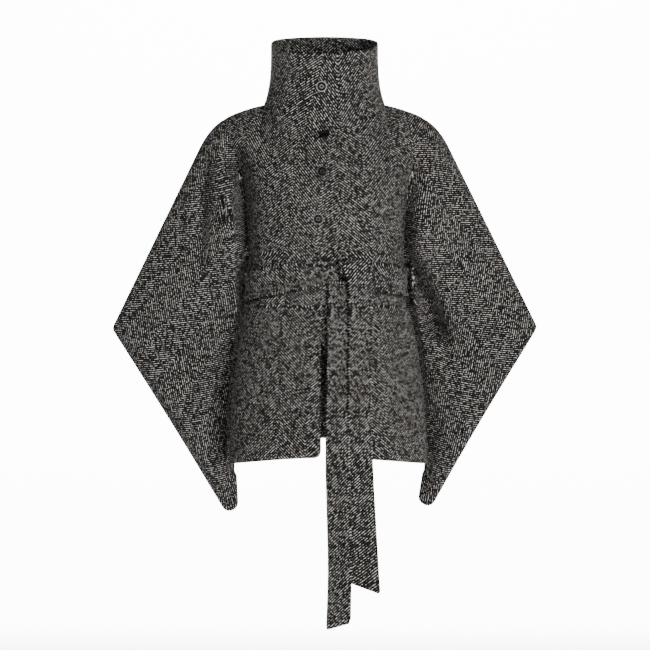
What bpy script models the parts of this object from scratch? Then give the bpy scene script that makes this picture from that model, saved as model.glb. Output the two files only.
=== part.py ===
"""Belted tweed cape jacket with wide sleeves, in the hollow form it has when it is worn.

Metres, +Z up. The front faces -Y, and +X is the wearer's left. Height 0 is the neck point of the
shoulder seams. Each piece that a maker cuts is one closed wall of cloth: a grid of points on the
outer face, the same grid moved in by the cloth's thickness, and a strip round the edge.
"""
import bpy
import numpy as np

for old_object in list(bpy.data.objects):
    bpy.data.objects.remove(old_object)

RIGHT = -1                  # the wearer's right side, towards -X
LEFT = 1
FRONT = -1                  # towards -Y
BACK = 1

# Cloth.
TWEED = 0.003               # one layer of the coating tweed
DOUBLED = 0.005             # collar and belt: two layers pressed together
SEAM = 0.0003               # gap between neighbouring pieces

# Heights.
ARMPIT_HEIGHT = -0.288
WAIST_LOW_HEIGHT = -0.392   # the belt draws the body in between these two
WAIST_HIGH_HEIGHT = -0.308
NECK_FRONT_HEIGHT = -0.055
NECK_BACK_HEIGHT = 0.020
HEM_SIDE_HEIGHT = -0.709
HEM_FRONT_HEIGHT = -0.686
HEM_BACK_HEIGHT = -0.675
YOKE_FRONT_HEIGHT = -0.128  # where the straight chest rows end and the shoulder's round begins
YOKE_BACK_HEIGHT = -0.090

# The body's sections: half widths to the wearer's right and left, depths before and behind.
BODY_COLUMNS = ("height", "right", "left", "front", "back")
BODY_SECTIONS = (
    (-0.720, 0.192, 0.208, 0.139, 0.138),
    (-0.600, 0.187, 0.200, 0.133, 0.132),
    (-0.490, 0.174, 0.187, 0.124, 0.118),
    (-0.415, 0.158, 0.170, 0.114, 0.100),
    (WAIST_LOW_HEIGHT, 0.152, 0.159, 0.109, 0.090),
    (WAIST_HIGH_HEIGHT, 0.152, 0.159, 0.109, 0.090),
    (-0.278, 0.156, 0.161, 0.115, 0.094),
    (-0.200, 0.163, 0.165, 0.124, 0.101),
    (-0.100, 0.172, 0.174, 0.112, 0.103),
    (0.000, 0.176, 0.178, 0.098, 0.092),
)
BODY_ROUNDNESS = 2.3        # 2 is an ellipse, and more is squarer

# Neckline: a loop that is low in front and high behind.
NECK_HALF_WIDTH = 0.120
NECK_DEPTHS = {FRONT: 0.100, BACK: 0.086}
NECK_DIP = {FRONT: 2.2, BACK: 2.0}
NECK_SIDE_HEIGHT = 0.002

# Shoulder seam from the neck point out to the top of the armhole.
SHOULDER_COLUMNS = ("out", "height")
SHOULDER_SEAM = (
    (0.120, 0.002),
    (0.141, -0.003),
    (0.163, -0.010),
    (0.186, -0.019),
    (0.203, -0.029),
)
SHOULDER_ROLL = 0.085       # how far the cloth runs level over the shoulder
NECK_LEAN = 0.055           # how far it runs up into the collar

# Armhole: a tall loop with a round bottom and top, wider out at the shoulder.
ARMHOLE_DEPTHS = {FRONT: 0.052, BACK: 0.062}
ARMHOLE_LOW_SHARE = {FRONT: 0.62, BACK: 0.80}   # how deep the loop is near the armpit
ARMHOLE_ROUNDNESS = 2.8
ARMHOLE_SPREAD = 3.0        # how late the loop swings out to the shoulder

# Front edges, as X at each height. The wearer's right front laps over the left one.
LAP_COLUMNS = ("height", "over", "under")
LAP_EDGES = (
    (-0.720, -0.008, 0.028),
    (-0.470, -0.009, 0.024),
    (-0.345, 0.006, 0.004),
    (-0.230, 0.020, -0.016),
    (-0.140, 0.027, -0.025),
    (0.150, 0.026, -0.026),
)
LAP_STEP = 0.0046           # how far the under front lies inside the over front
LAP_FADE = (0.034, 0.085)   # where the under front comes out to the common surface

# Sleeves: the flat outline of each, out from the middle and up, with rounded tips.
SLEEVES = {
    RIGHT: {"tip": (0.4245, -0.4420), "point": (0.1720, -0.8664), "elbow": (0.2503, -0.088),
            "under": (0.1480, -0.400), "inner": (0.1800, -0.700), "tip_back": 0.010,
            "point_back": 0.066, "cuff_bow": 0.003},
    LEFT: {"tip": (0.4250, -0.4390), "point": (0.1758, -0.8770), "elbow": (0.2500, -0.088),
           "under": (0.1580, -0.400), "inner": (0.2080, -0.680), "tip_back": 0.010,
           "point_back": 0.062, "cuff_bow": 0.006},
}
SHOULDER_TURN = (0.230, -0.046)   # where the lines of shoulder and overarm would cross
TIP_ROUND = 0.010
POINT_ROUND = 0.0166
CUFF_HALF_OPENING = 0.040
CUFF_ROUNDNESS = 2.2
UNDERARM_BEND = (0.008, 0.060)   # inwards from the armpit, and up from the underarm's next point
UNDERARM_TUCK = 5.0         # how soon below the armpit the sleeve's inner edge goes behind the body
SLEEVE_SWELL = {FRONT: 0.044, BACK: 0.026}
SWELL_PLACE = 0.16          # share of the sleeve's length where the swell is highest
SLEEVE_CLEARANCE = 0.0110   # the sleeve hangs this far outside the body and its belt

# Folds in the cloth: soft valleys along a line, in the sleeve's own outward X and height.
FOLD_COLUMNS = ("side", "face", "x0", "z0", "x1", "z1", "bow", "width", "depth")
SLEEVE_FOLDS = (
    (RIGHT, FRONT, 0.228, -0.065, 0.252, -0.330, 0.004, 0.014, 0.010),
    (LEFT, FRONT, 0.232, -0.070, 0.262, -0.300, 0.004, 0.014, 0.006),
    (LEFT, FRONT, 0.170, -0.320, 0.262, -0.560, 0.006, 0.017, 0.018),
    (RIGHT, FRONT, 0.190, -0.400, 0.215, -0.640, 0.000, 0.020, 0.008),
    (RIGHT, BACK, 0.215, -0.120, 0.270, -0.430, 0.006, 0.020, 0.012),
    (LEFT, BACK, 0.215, -0.120, 0.262, -0.470, 0.006, 0.020, 0.012),
    (LEFT, BACK, 0.300, -0.280, 0.290, -0.520, 0.000, 0.022, 0.008),
)

# Collar: a high funnel whose ends lap at the front.
COLLAR_RIM_HALF_WIDTH = 0.1065
COLLAR_RIM_DEPTHS = {FRONT: 0.106, BACK: 0.088}
COLLAR_RIM_HEIGHTS = {"front": 0.094, "side": 0.121, "back": 0.140}
COLLAR_ROUNDNESS = 2.4
COLLAR_FLARE = 3.2          # how low the funnel spreads to the neckline
COLLAR_LAP_STEP = 0.0062
COLLAR_SEAM_RISE = 0.30     # how the cut edge at the neckline rises towards the inside

# Belt: a band round the waist, a knot and two hanging tails.
BELT_WIDTH = 0.050
BELT_CLEARANCE = 0.0012
BELT_BACK_HEIGHT = -0.355
BELT_FRONT_HEIGHT = -0.333
BELT_TILT = 0.005           # the band lies lower on the wearer's right
BELT_KNOT_WIDTH = 0.026     # height of the gathered band beside the knot
BAND_END = {RIGHT: 0.0270, LEFT: 0.0520}   # X of the band's two ends beside the knot
TAIL_COLUMNS = ("height", "x_right", "x_left", "y_right", "y_left")
TAIL_UNDER = (              # hangs from under the band's right part
    (-0.3475, 0.009, 0.047, -0.1215, -0.1215),
    (-0.430, 0.008, 0.046, -0.129, -0.131),
    (-0.560, 0.006, 0.0455, -0.1415, -0.1425),
    (-0.640, 0.004, 0.0455, -0.1475, -0.1505),
    (-0.700, 0.004, 0.0468, -0.150, -0.1545),
    (-0.800, 0.006, 0.0485, -0.150, -0.1585),
    (-0.900, 0.008, 0.0495, -0.147, -0.158),
    (-1.021, 0.005, 0.0485, -0.142, -0.152),
)
TAIL_OVER = (               # comes over the knot and hangs on the wearer's left
    (-0.302, 0.040, 0.086, -0.117, -0.109),
    (-0.312, 0.039, 0.088, -0.1345, -0.119),
    (-0.345, 0.048, 0.090, -0.138, -0.122),
    (-0.430, 0.049, 0.090, -0.139, -0.128),
    (-0.560, 0.048, 0.089, -0.1500, -0.1380),
    (-0.640, 0.0480, 0.090, -0.1500, -0.1420),
    (-0.700, 0.0475, 0.092, -0.1475, -0.1445),
    (-0.800, 0.0470, 0.097, -0.1445, -0.1455),
    (-0.930, 0.0475, 0.106, -0.1360, -0.1440),
)
TAIL_SLANTS = {"under": 0.014, "over": -0.020}   # how much the cut end rises across the tail
SLANT_START = 0.8           # share of the tail's length where the rows begin to tilt
KNOT_CENTRE = (0.0331, -0.3165)
KNOT_HALVES = (0.0055, 0.0080, 0.0135)
KNOT_SQUARENESS = 0.75      # 1 is a ball, and less is squarer
KNOT_STEPS = 14
KNOT_LEVELS = 6

# Buttons down the front, by X and height.
BUTTON_DIAMETER = 0.021
BUTTON_THICKNESS = 0.0042
BUTTON_STANDOFF = 0.0005     # above the highest point of the cloth under the button
BUTTON_COLUMNS = ("x", "height", "nod", "roll")   # degrees it droops on its thread, and leans
BUTTON_PLACES = (
    (-0.0052, 0.035, 0.0, 0.0),
    (-0.0014, -0.053, 42.0, 14.0),
    (-0.0035, -0.131, 6.0, 0.0),
    (-0.0116, -0.223, 0.0, 0.0),
)
BUTTON_STEPS = 20
BUTTON_SEARCH = 8           # how many times finer the cloth's grid is where a button rests

# Grid sizes.
SKIRT_ROWS = 7              # hem to the belt's lower edge
WAIST_ROWS = 2              # behind the belt
LOWER_ROWS = SKIRT_ROWS + WAIST_ROWS + 1   # hem to armpit
ARMHOLE_ROWS = 14           # armpit to shoulder, and across each half of a sleeve
NECK_COLUMNS = 8
SEAM_COLUMNS = 3            # along the shoulder seam
PANEL_COLUMNS = NECK_COLUMNS + SEAM_COLUMNS
SLEEVE_ROWS = 15
COLLAR_ROWS = 5
BELT_STEPS = 44
BELT_ROWS = 2               # across the width of the belt and its tails
TAIL_ROWS = 18
FINE = 240                  # points in a curve before it is divided evenly


def column(table, columns, name):
    """One named column of a table, as an array."""
    return np.array([row[columns.index(name)] for row in table], dtype=float)


def curve(knots, values, at):
    """A smooth curve through the table's points that never swings past them."""
    knots = np.asarray(knots, dtype=float)
    values = np.asarray(values, dtype=float)
    rises = np.diff(values) / np.diff(knots)
    slopes = np.concatenate((rises[:1], np.zeros(len(rises) - 1), rises[-1:]))
    same_way = rises[:-1] * rises[1:] > 0
    total = np.where(same_way, rises[:-1] + rises[1:], 1.0)
    slopes[1:-1] = np.where(same_way, 2 * rises[:-1] * rises[1:] / total, 0.0)
    at = np.clip(at, knots[0], knots[-1])
    cell = np.clip(np.searchsorted(knots, at, side="right") - 1, 0, len(knots) - 2)
    span = knots[cell + 1] - knots[cell]
    share = (at - knots[cell]) / span
    start = (1 + 2 * share) * (1 - share) ** 2 * values[cell]
    leave = share * (1 - share) ** 2 * span * slopes[cell]
    end = share ** 2 * (3 - 2 * share) * values[cell + 1]
    arrive = share ** 2 * (share - 1) * span * slopes[cell + 1]
    return start + leave + end + arrive


def ease(share):
    """0 to 1 with a soft start and end."""
    share = np.clip(share, 0.0, 1.0)
    return share * share * (3 - 2 * share)


def divide(points, count):
    """The curve through the points, divided into equal lengths."""
    points = np.asarray(points, dtype=float)
    steps = np.linalg.norm(np.diff(points, axis=0), axis=1)
    length = np.concatenate(([0.0], np.cumsum(steps)))
    at = np.linspace(0.0, length[-1], count + 1)
    return np.stack([np.interp(at, length, points[:, k]) for k in range(3)], axis=1)


def body_size(name, height):
    """A width or depth of the body at a height."""
    heights = column(BODY_SECTIONS, BODY_COLUMNS, "height")
    return curve(heights, column(BODY_SECTIONS, BODY_COLUMNS, name), height)


def round_depth(share, roundness):
    """Depth of a squarish round, from 1 in the middle to 0 at a share of 1."""
    return (1 - np.minimum(np.abs(share), 1.0) ** roundness) ** (1 / roundness)


def neck_height(angle, face):
    """Height of the neckline, by the angle from the middle of the front or back."""
    middle = NECK_FRONT_HEIGHT if face == FRONT else NECK_BACK_HEIGHT
    return NECK_SIDE_HEIGHT + (middle - NECK_SIDE_HEIGHT) * np.abs(np.cos(angle)) ** NECK_DIP[face]


def neck_loop(angle, face):
    """Points of the neckline, with X counted outwards on the panel's own side."""
    reach = (np.abs(np.sin(angle)) ** COLLAR_ROUNDNESS
             + np.abs(np.cos(angle)) ** COLLAR_ROUNDNESS) ** (-1 / COLLAR_ROUNDNESS)
    out = NECK_HALF_WIDTH * reach * np.sin(angle)
    deep = face * NECK_DEPTHS[face] * reach * np.cos(angle)
    return np.stack((out, deep, neck_height(angle, face)), axis=-1)


def armhole(side, face, count):
    """The armhole's front or back half, from the armpit up to the shoulder."""
    turn = np.linspace(-np.pi / 2, np.pi / 2, FINE)
    rise = np.sign(np.sin(turn)) * np.abs(np.sin(turn)) ** (2 / ARMHOLE_ROUNDNESS)
    deep = face * ARMHOLE_DEPTHS[face] * np.abs(np.cos(turn)) ** (2 / ARMHOLE_ROUNDNESS)
    top_out, top_height = SHOULDER_SEAM[-1]
    armpit_out = body_size("right" if side == RIGHT else "left", ARMPIT_HEIGHT)
    share = (1 + rise) / 2
    deep = deep * (ARMHOLE_LOW_SHARE[face] + (1 - ARMHOLE_LOW_SHARE[face]) * ease(share / 0.8))
    out = armpit_out + (top_out - armpit_out) * share ** ARMHOLE_SPREAD
    height = ARMPIT_HEIGHT + (top_height - ARMPIT_HEIGHT) * share
    return divide(np.stack((out, deep, height), axis=1), count)


def body_row(side, face, start, edge, middle_height, count):
    """One row of a body panel, from X = start near the middle out to its edge point."""
    width_name = "right" if side == RIGHT else "left"
    depth_name = "front" if face == FRONT else "back"
    edge_out, edge_deep, edge_height = edge
    turn = np.linspace(-0.6, 1.0, FINE)
    depth_there = body_size(depth_name, edge_height)
    edge_share = min(abs(edge_deep) / depth_there, 0.999)
    half_width = edge_out / (1 - edge_share ** BODY_ROUNDNESS) ** (1 / BODY_ROUNDNESS)
    last = np.arctan2(edge_out / half_width, edge_share)
    angle = turn * last
    reach = (np.abs(np.sin(angle)) ** BODY_ROUNDNESS
             + np.abs(np.cos(angle)) ** BODY_ROUNDNESS) ** (-1 / BODY_ROUNDNESS)
    height = edge_height + (middle_height - edge_height) * np.cos(angle * (np.pi / 2) / last) ** 2
    if edge_share == 0:
        half_width = body_size(width_name, height)
    out = half_width * reach * np.sin(angle)
    deep = face * body_size(depth_name, height) * reach * np.cos(angle)
    row = np.stack((out, deep, height), axis=1)
    at_start = np.array([np.interp(start, out, row[:, k]) for k in range(3)])
    return divide(np.vstack((at_start, row[out > start + 1e-6])), count)


def neck_angles(face, start):
    """Angles that divide the neckline evenly, from X = start to the neck point."""
    angle = np.linspace(-0.6, np.pi / 2, FINE)
    loop = neck_loop(angle, face)
    steps = np.linalg.norm(np.diff(loop, axis=0), axis=1)
    length = np.concatenate(([0.0], np.cumsum(steps)))
    first = np.interp(start, loop[:, 0], length)
    return np.interp(np.linspace(first, length[-1], NECK_COLUMNS + 1), length, angle)


def top_row(face, start):
    """The neckline from X = start to the neck point, then the shoulder seam."""
    neck = neck_loop(neck_angles(face, start), face)
    out = np.linspace(SHOULDER_SEAM[0][0], SHOULDER_SEAM[-1][0], FINE)
    height = curve(column(SHOULDER_SEAM, SHOULDER_COLUMNS, "out"),
                   column(SHOULDER_SEAM, SHOULDER_COLUMNS, "height"), out)
    seam = divide(np.stack((out, np.zeros_like(out), height), axis=1), SEAM_COLUMNS)
    return np.vstack((neck, seam[1:]))


def lower_levels(hem):
    """Row heights from the hem up to just below the armpit, with rows at the belt's edges."""
    skirt = np.linspace(hem, WAIST_LOW_HEIGHT, SKIRT_ROWS + 1)[:-1]
    waist = np.linspace(WAIST_LOW_HEIGHT, WAIST_HIGH_HEIGHT, WAIST_ROWS + 1)
    return np.concatenate((skirt, waist))


def body_panel(side, face, start_edge):
    """Grid of one quarter of the body: rows up, columns from the middle out.

    Below the yoke each row is part of a squarish round. The yoke's rows are a smooth blend that
    leaves the last of them upwards and arrives level over the shoulder or upright at the neck.
    """
    hem = HEM_FRONT_HEIGHT if face == FRONT else HEM_BACK_HEIGHT
    neck = NECK_FRONT_HEIGHT if face == FRONT else NECK_BACK_HEIGHT
    yoke = YOKE_FRONT_HEIGHT if face == FRONT else YOKE_BACK_HEIGHT
    width_name = "right" if side == RIGHT else "left"
    side_heights = lower_levels(HEM_SIDE_HEIGHT)
    side_edge = np.stack((body_size(width_name, side_heights), np.zeros(LOWER_ROWS), side_heights), 1)
    hole_edge = armhole(side, face, ARMHOLE_ROWS)
    edge = np.vstack((side_edge, hole_edge))
    middles = np.concatenate((lower_levels(hem), np.linspace(ARMPIT_HEIGHT, neck, ARMHOLE_ROWS + 1)))
    plain = int(np.sum(middles <= yoke))
    grid = np.zeros((len(edge), PANEL_COLUMNS + 1, 3))
    for row in range(plain):
        grid[row] = body_row(side, face, start_edge(middles[row]), edge[row], middles[row],
                             PANEL_COLUMNS)
    top = top_row(face, start_edge(neck))
    share = np.linspace(0.0, 1.0, PANEL_COLUMNS + 1)
    over = ease((share - NECK_COLUMNS / PANEL_COLUMNS + 0.18) / 0.30)[:, None]
    up = np.array((0.0, -face * 0.35, 0.94)) * NECK_LEAN
    level = np.array((0.0, -face * 1.0, 0.0)) * SHOULDER_ROLL
    arrive = up * (1 - over) + level * over
    rows_left = len(edge) - plain
    low = grid[plain - 1]
    leave = (grid[plain - 1] - grid[plain - 2]) * rows_left
    for step in range(1, rows_left + 1):
        part = step / rows_left
        blend = ((1 + 2 * part) * (1 - part) ** 2 * low + part * (1 - part) ** 2 * leave
                 + part ** 2 * (3 - 2 * part) * top + part ** 2 * (part - 1) * arrive)
        miss = edge[plain - 1 + step] - blend[-1]
        grid[plain - 1 + step] = blend + miss * (share ** 3)[:, None]
    return grid


def under_lap(grid):
    """Moves the under front in, where the over front lies on it."""
    fade = 1 - ease((grid[..., 0] - LAP_FADE[0]) / (LAP_FADE[1] - LAP_FADE[0]))
    moved = grid.copy()
    moved[..., 1] += LAP_STEP * fade
    return moved


def rounded_corner(before, corner, after, radius):
    """Points from before to the middle of the rounded corner, and from there to after."""
    before, corner, after = (np.array(point, dtype=float) for point in (before, corner, after))
    back = (before - corner) / np.linalg.norm(before - corner)
    on = (after - corner) / np.linalg.norm(after - corner)
    half = np.arccos(np.clip(back @ on, -1, 1)) / 2
    middle_way = (back + on) / np.linalg.norm(back + on)
    centre = corner + middle_way * radius / np.sin(half)
    sweep = np.linspace(-(np.pi / 2 - half), np.pi / 2 - half, 21)[:, None]
    across = (on - back) / np.linalg.norm(on - back)
    arc = centre - radius * (np.cos(sweep) * middle_way - np.sin(sweep) * across)
    return np.vstack((before, arc[:11])), np.vstack((arc[10:], after))


def sleeve_outline(side):
    """Overarm, cuff and underarm lines of a sleeve, in outward X and height."""
    shape = SLEEVES[side]
    top = np.array(SHOULDER_SEAM[-1])
    turn = np.array(SHOULDER_TURN)
    elbow = np.array(shape["elbow"])
    share = np.linspace(0.0, 1.0, 30)[:, None]
    round_part = (1 - share) ** 2 * top + 2 * share * (1 - share) * turn + share ** 2 * elbow
    armpit_out = body_size("right" if side == RIGHT else "left", ARMPIT_HEIGHT)
    to_tip, from_tip = rounded_corner(elbow, shape["tip"], shape["point"], TIP_ROUND)
    to_point, from_point = rounded_corner(shape["tip"], shape["point"], shape["inner"], POINT_ROUND)
    overarm = np.vstack((round_part[:-1], to_tip))
    cuff = np.vstack((from_tip[:-1], to_point[1:]))
    under = np.array(shape["under"])
    armpit = np.array((armpit_out, ARMPIT_HEIGHT))
    bend = np.array((armpit_out - UNDERARM_BEND[0], shape["under"][1] + UNDERARM_BEND[1]))
    hang = (1 - share) ** 2 * armpit + 2 * share * (1 - share) * bend + share ** 2 * under
    underarm = np.vstack((hang, from_point[::-1]))
    return overarm, cuff, underarm


def along(line, shares):
    """Points of a flat line at shares of its length."""
    steps = np.linalg.norm(np.diff(line, axis=0), axis=1)
    length = np.concatenate(([0.0], np.cumsum(steps))) / steps.sum()
    return np.stack([np.interp(shares, length, line[:, k]) for k in range(2)], axis=-1)


def fold_depth(side, face, out, height):
    """How deep the folds of one sleeve face go at each point."""
    depth = np.zeros_like(out)
    for fold in SLEEVE_FOLDS:
        row = dict(zip(FOLD_COLUMNS, fold))
        if row["side"] == side and row["face"] == face:
            run = np.array((row["x1"] - row["x0"], row["z1"] - row["z0"]))
            length = np.linalg.norm(run)
            away = np.stack((out - row["x0"], height - row["z0"]), axis=-1)
            share = away @ run / length ** 2
            across = away @ np.array((-run[1], run[0])) / length
            across = across - 4 * row["bow"] * share * (1 - share)
            fade = ease(share / 0.3) * ease((1 - share) / 0.3)
            depth += row["depth"] * fade * np.exp(-(across / row["width"]) ** 2)
    return depth


def clear_of_body(side, grid):
    """Moves the sleeve's points out of the body below the armpit, along the body's rounds."""
    out, deep, height = grid[..., 0], grid[..., 1], grid[..., 2]
    grown = SLEEVE_CLEARANCE * ease((ARMPIT_HEIGHT - height) / 0.035)
    half_width = body_size("right" if side == RIGHT else "left", height) + grown
    depth = np.where(deep < 0, body_size("front", height), body_size("back", height)) + grown
    reach = (np.abs(out / half_width) ** BODY_ROUNDNESS
             + np.abs(deep / depth) ** BODY_ROUNDNESS) ** (1 / BODY_ROUNDNESS)
    beside = (height < ARMPIT_HEIGHT) & (height > HEM_SIDE_HEIGHT - 0.03)
    push = np.where(beside & (reach < 1), 1 / np.maximum(reach, 1e-3), 1.0)
    moved = grid.copy()
    moved[..., 0] = out * push
    moved[..., 1] = deep * push
    return moved


def sleeve_panel(side, face):
    """Grid of a sleeve's front or back: rows from armhole to cuff, columns from overarm to underarm.

    The four edges are given, and the inside is their blend. The cuff's section is a flat round.
    A swell and the folds are added to the depth.
    """
    shape = SLEEVES[side]
    hole = armhole(side, face, ARMHOLE_ROWS)[::-1]
    across = (hole[0, 2] - hole[:, 2]) / (hole[0, 2] - hole[-1, 2])
    overarm, cuff, underarm = sleeve_outline(side)
    down = (np.arange(SLEEVE_ROWS + 1) / SLEEVE_ROWS) ** 1.2
    over_line = along(overarm, down)
    under_line = along(underarm, down)
    over_back = shape["tip_back"] * down
    under_back = shape["point_back"] * (1 - (1 - down) ** UNDERARM_TUCK)
    cuff_line = along(cuff, across)
    cuff_line[:, 0] -= 4 * shape["cuff_bow"] * across * (1 - across)
    cuff_back = shape["tip_back"] + (shape["point_back"] - shape["tip_back"]) * across
    cuff_deep = cuff_back + face * CUFF_HALF_OPENING * round_depth(2 * across - 1, CUFF_ROUNDNESS)
    first = hole
    last = np.stack((cuff_line[:, 0], cuff_deep, cuff_line[:, 1]), axis=1)
    over = np.stack((over_line[:, 0], over_back, over_line[:, 1]), axis=1)
    under = np.stack((under_line[:, 0], under_back, under_line[:, 1]), axis=1)
    t = down[:, None, None]
    s = across[None, :, None]
    grid = (1 - t) * first[None] + t * last[None]
    grid = grid + (1 - s) * (over[:, None] - (1 - t) * first[0] - t * last[0])
    grid = grid + s * (under[:, None] - (1 - t) * first[-1] - t * last[-1])
    rise = (down / SWELL_PLACE) * np.exp(1 - down / SWELL_PLACE)
    swell = SLEEVE_SWELL[face] * rise[:, None] * np.sin(np.pi * across)[None] ** 0.8
    inward = fold_depth(side, face, grid[..., 0], grid[..., 2]) * np.sin(np.pi * across)[None] ** 0.3
    grid[..., 1] += face * (swell - inward)
    return clear_of_body(side, grid)


def outward(grid):
    """Unit normals of a grid. They point away from the body's inside."""
    down = np.gradient(grid, axis=0)
    across = np.gradient(grid, axis=1)
    normal = np.cross(across, down)
    return normal / np.linalg.norm(normal, axis=-1, keepdims=True)


def level_edge(normals, edge):
    """Takes the front-to-back part out of the normals along a seam that joins front and back."""
    level = normals[edge] * np.array((1.0, 0.0, 1.0))
    normals[edge] = level / np.linalg.norm(level, axis=-1, keepdims=True)


def share_edge(normals_a, edge_a, normals_b, edge_b):
    """Brings the normals of two pieces together along their seam, unless it is a sharp fold."""
    a = normals_a[edge_a].copy()
    b = normals_b[edge_b].copy()
    weight = np.clip((a * b).sum(-1, keepdims=True), 0.0, 1.0) ** 0.5
    mixed_a = a + weight * b
    mixed_b = b + weight * a
    normals_a[edge_a] = mixed_a / np.linalg.norm(mixed_a, axis=-1, keepdims=True)
    normals_b[edge_b] = mixed_b / np.linalg.norm(mixed_b, axis=-1, keepdims=True)


def material(name, colour, roughness):
    """A plain Principled material."""
    made = bpy.data.materials.new(name)
    made.use_nodes = True
    shader = made.node_tree.nodes["Principled BSDF"]
    shader.inputs["Base Color"].default_value = (*colour, 1.0)
    shader.inputs["Roughness"].default_value = roughness
    shader.inputs["Metallic"].default_value = 0.0
    return made


def add_object(name, points, faces, finish):
    """A mesh object at the origin with its faces turned outwards."""
    mesh = bpy.data.meshes.new(name)
    mesh.from_pydata([tuple(point) for point in points], [], faces)
    mesh.materials.append(finish)
    mesh.shade_smooth()
    mesh.set_sharp_from_angle(angle=np.radians(40))
    made = bpy.data.objects.new(name, mesh)
    bpy.context.scene.collection.objects.link(made)
    return made


def grid_faces(rows, columns, first, flip, closed=False):
    """Quads between neighbouring points of a grid that starts at the point number first."""
    faces = []
    for row in range(rows - 1):
        for col in range(columns if closed else columns - 1):
            right = (col + 1) % columns
            quad = [first + row * columns + col, first + row * columns + right,
                    first + (row + 1) * columns + right, first + (row + 1) * columns + col]
            faces.append(quad[::-1] if flip else quad)
    return faces


def wall(name, grid, normals, thickness, finish):
    """A closed wall of cloth: the grid, the same grid moved in, and a strip round the edge."""
    rows, columns = grid.shape[:2]
    inner = grid - normals * thickness
    points = np.concatenate((grid.reshape(-1, 3), inner.reshape(-1, 3)))
    count = rows * columns
    across = grid[0, 1] - grid[0, 0]
    down = grid[1, 0] - grid[0, 0]
    outside = np.cross(across, down) @ normals[0, 0] > 0
    faces = grid_faces(rows, columns, 0, not outside) + grid_faces(rows, columns, count, outside)
    rim = [col for col in range(columns)]
    rim += [row * columns + columns - 1 for row in range(1, rows)]
    rim += [(rows - 1) * columns + col for col in range(columns - 2, -1, -1)]
    rim += [row * columns for row in range(rows - 2, 0, -1)]
    for here, there in zip(rim, rim[1:] + rim[:1]):
        quad = [here, here + count, there + count, there]
        faces.append(quad if outside else quad[::-1])
    return add_object(name, points, faces, finish)


def mirrored(array, side):
    """Turns outward X into the object's X on one side."""
    turned = array.copy()
    turned[..., 0] *= side
    return turned


# ---------------------------------------------------------------- finishes
TWEED_FINISH = material("herringbone_tweed", (0.085, 0.080, 0.074), 0.95)
BUTTON_FINISH = material("black_button", (0.012, 0.012, 0.013), 0.25)

# ---------------------------------------------------------------- body panels
LAP_HEIGHTS = column(LAP_EDGES, LAP_COLUMNS, "height")


def over_edge(height):
    """X of the over front's edge, counted outwards on the wearer's right."""
    return -curve(LAP_HEIGHTS, column(LAP_EDGES, LAP_COLUMNS, "over"), height)


def under_edge(height):
    """X of the under front's edge, counted outwards on the wearer's left."""
    return curve(LAP_HEIGHTS, column(LAP_EDGES, LAP_COLUMNS, "under"), height)


def middle(height):
    """The middle of the back."""
    return 0.0 * height


grids = {
    "front_right": body_panel(RIGHT, FRONT, over_edge),
    "front_left": under_lap(body_panel(LEFT, FRONT, under_edge)),
    "sleeve_right_front": sleeve_panel(RIGHT, FRONT),
    "sleeve_right_back": sleeve_panel(RIGHT, BACK),
    "sleeve_left_front": sleeve_panel(LEFT, FRONT),
    "sleeve_left_back": sleeve_panel(LEFT, BACK),
}
sides = {"front_right": RIGHT, "front_left": LEFT, "sleeve_right_front": RIGHT,
         "sleeve_right_back": RIGHT, "sleeve_left_front": LEFT, "sleeve_left_back": LEFT}
for name, side in sides.items():
    grids[name] = mirrored(grids[name], side)
back_right = mirrored(body_panel(RIGHT, BACK, middle), RIGHT)
back_left = mirrored(body_panel(LEFT, BACK, middle), LEFT)
grids["back"] = np.concatenate((back_right[:, :0:-1], back_left), axis=1)

normals = {}
for name, grid in grids.items():
    normals[name] = outward(grid)
    face = BACK if "back" in name else FRONT
    if normals[name][..., 1].mean() * face < 0:
        normals[name] *= -1

LAST = (slice(None), -1)
FIRST = (slice(None), 0)
TOP = (-1, slice(None))
HOLE_LAST = (slice(LOWER_ROWS, None), -1)
HOLE_FIRST = (slice(LOWER_ROWS, None), 0)
HOLE_ROW = (0, slice(None, None, -1))


def level_panel(name, side_edges, seam_columns):
    """Levels the normals of a body panel at its side seams and shoulder seams."""
    for edge in side_edges:
        level_edge(normals[name], edge)
    level_edge(normals[name], (-1, seam_columns))


share_edge(normals["front_right"], HOLE_LAST, normals["sleeve_right_front"], HOLE_ROW)
share_edge(normals["front_left"], HOLE_LAST, normals["sleeve_left_front"], HOLE_ROW)
share_edge(normals["back"], HOLE_FIRST, normals["sleeve_right_back"], HOLE_ROW)
share_edge(normals["back"], HOLE_LAST, normals["sleeve_left_back"], HOLE_ROW)
SIDE_SEAM_LAST = (slice(0, LOWER_ROWS + 1), -1)
SIDE_SEAM_FIRST = (slice(0, LOWER_ROWS + 1), 0)
for name in ("front_right", "front_left"):
    on_shoulder = np.flatnonzero(np.abs(grids[name][-1, :, 0]) > NECK_HALF_WIDTH - 0.004)
    level_panel(name, (SIDE_SEAM_LAST,), on_shoulder)
on_shoulder = np.flatnonzero(np.abs(grids["back"][-1, :, 0]) > NECK_HALF_WIDTH - 0.004)
level_panel("back", (SIDE_SEAM_FIRST, SIDE_SEAM_LAST), on_shoulder)
for name in ("sleeve_right_front", "sleeve_right_back", "sleeve_left_front", "sleeve_left_back"):
    level_edge(normals[name], FIRST)
    level_edge(normals[name], LAST)

for name, grid in grids.items():
    face = BACK if "back" in name else FRONT
    shift = np.array((0.0, face * SEAM / 2, 0.0))
    if "sleeve" in name:
        shift[0] = sides[name] * SEAM
    wall(name, grid + shift, normals[name], TWEED, TWEED_FINISH)


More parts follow.
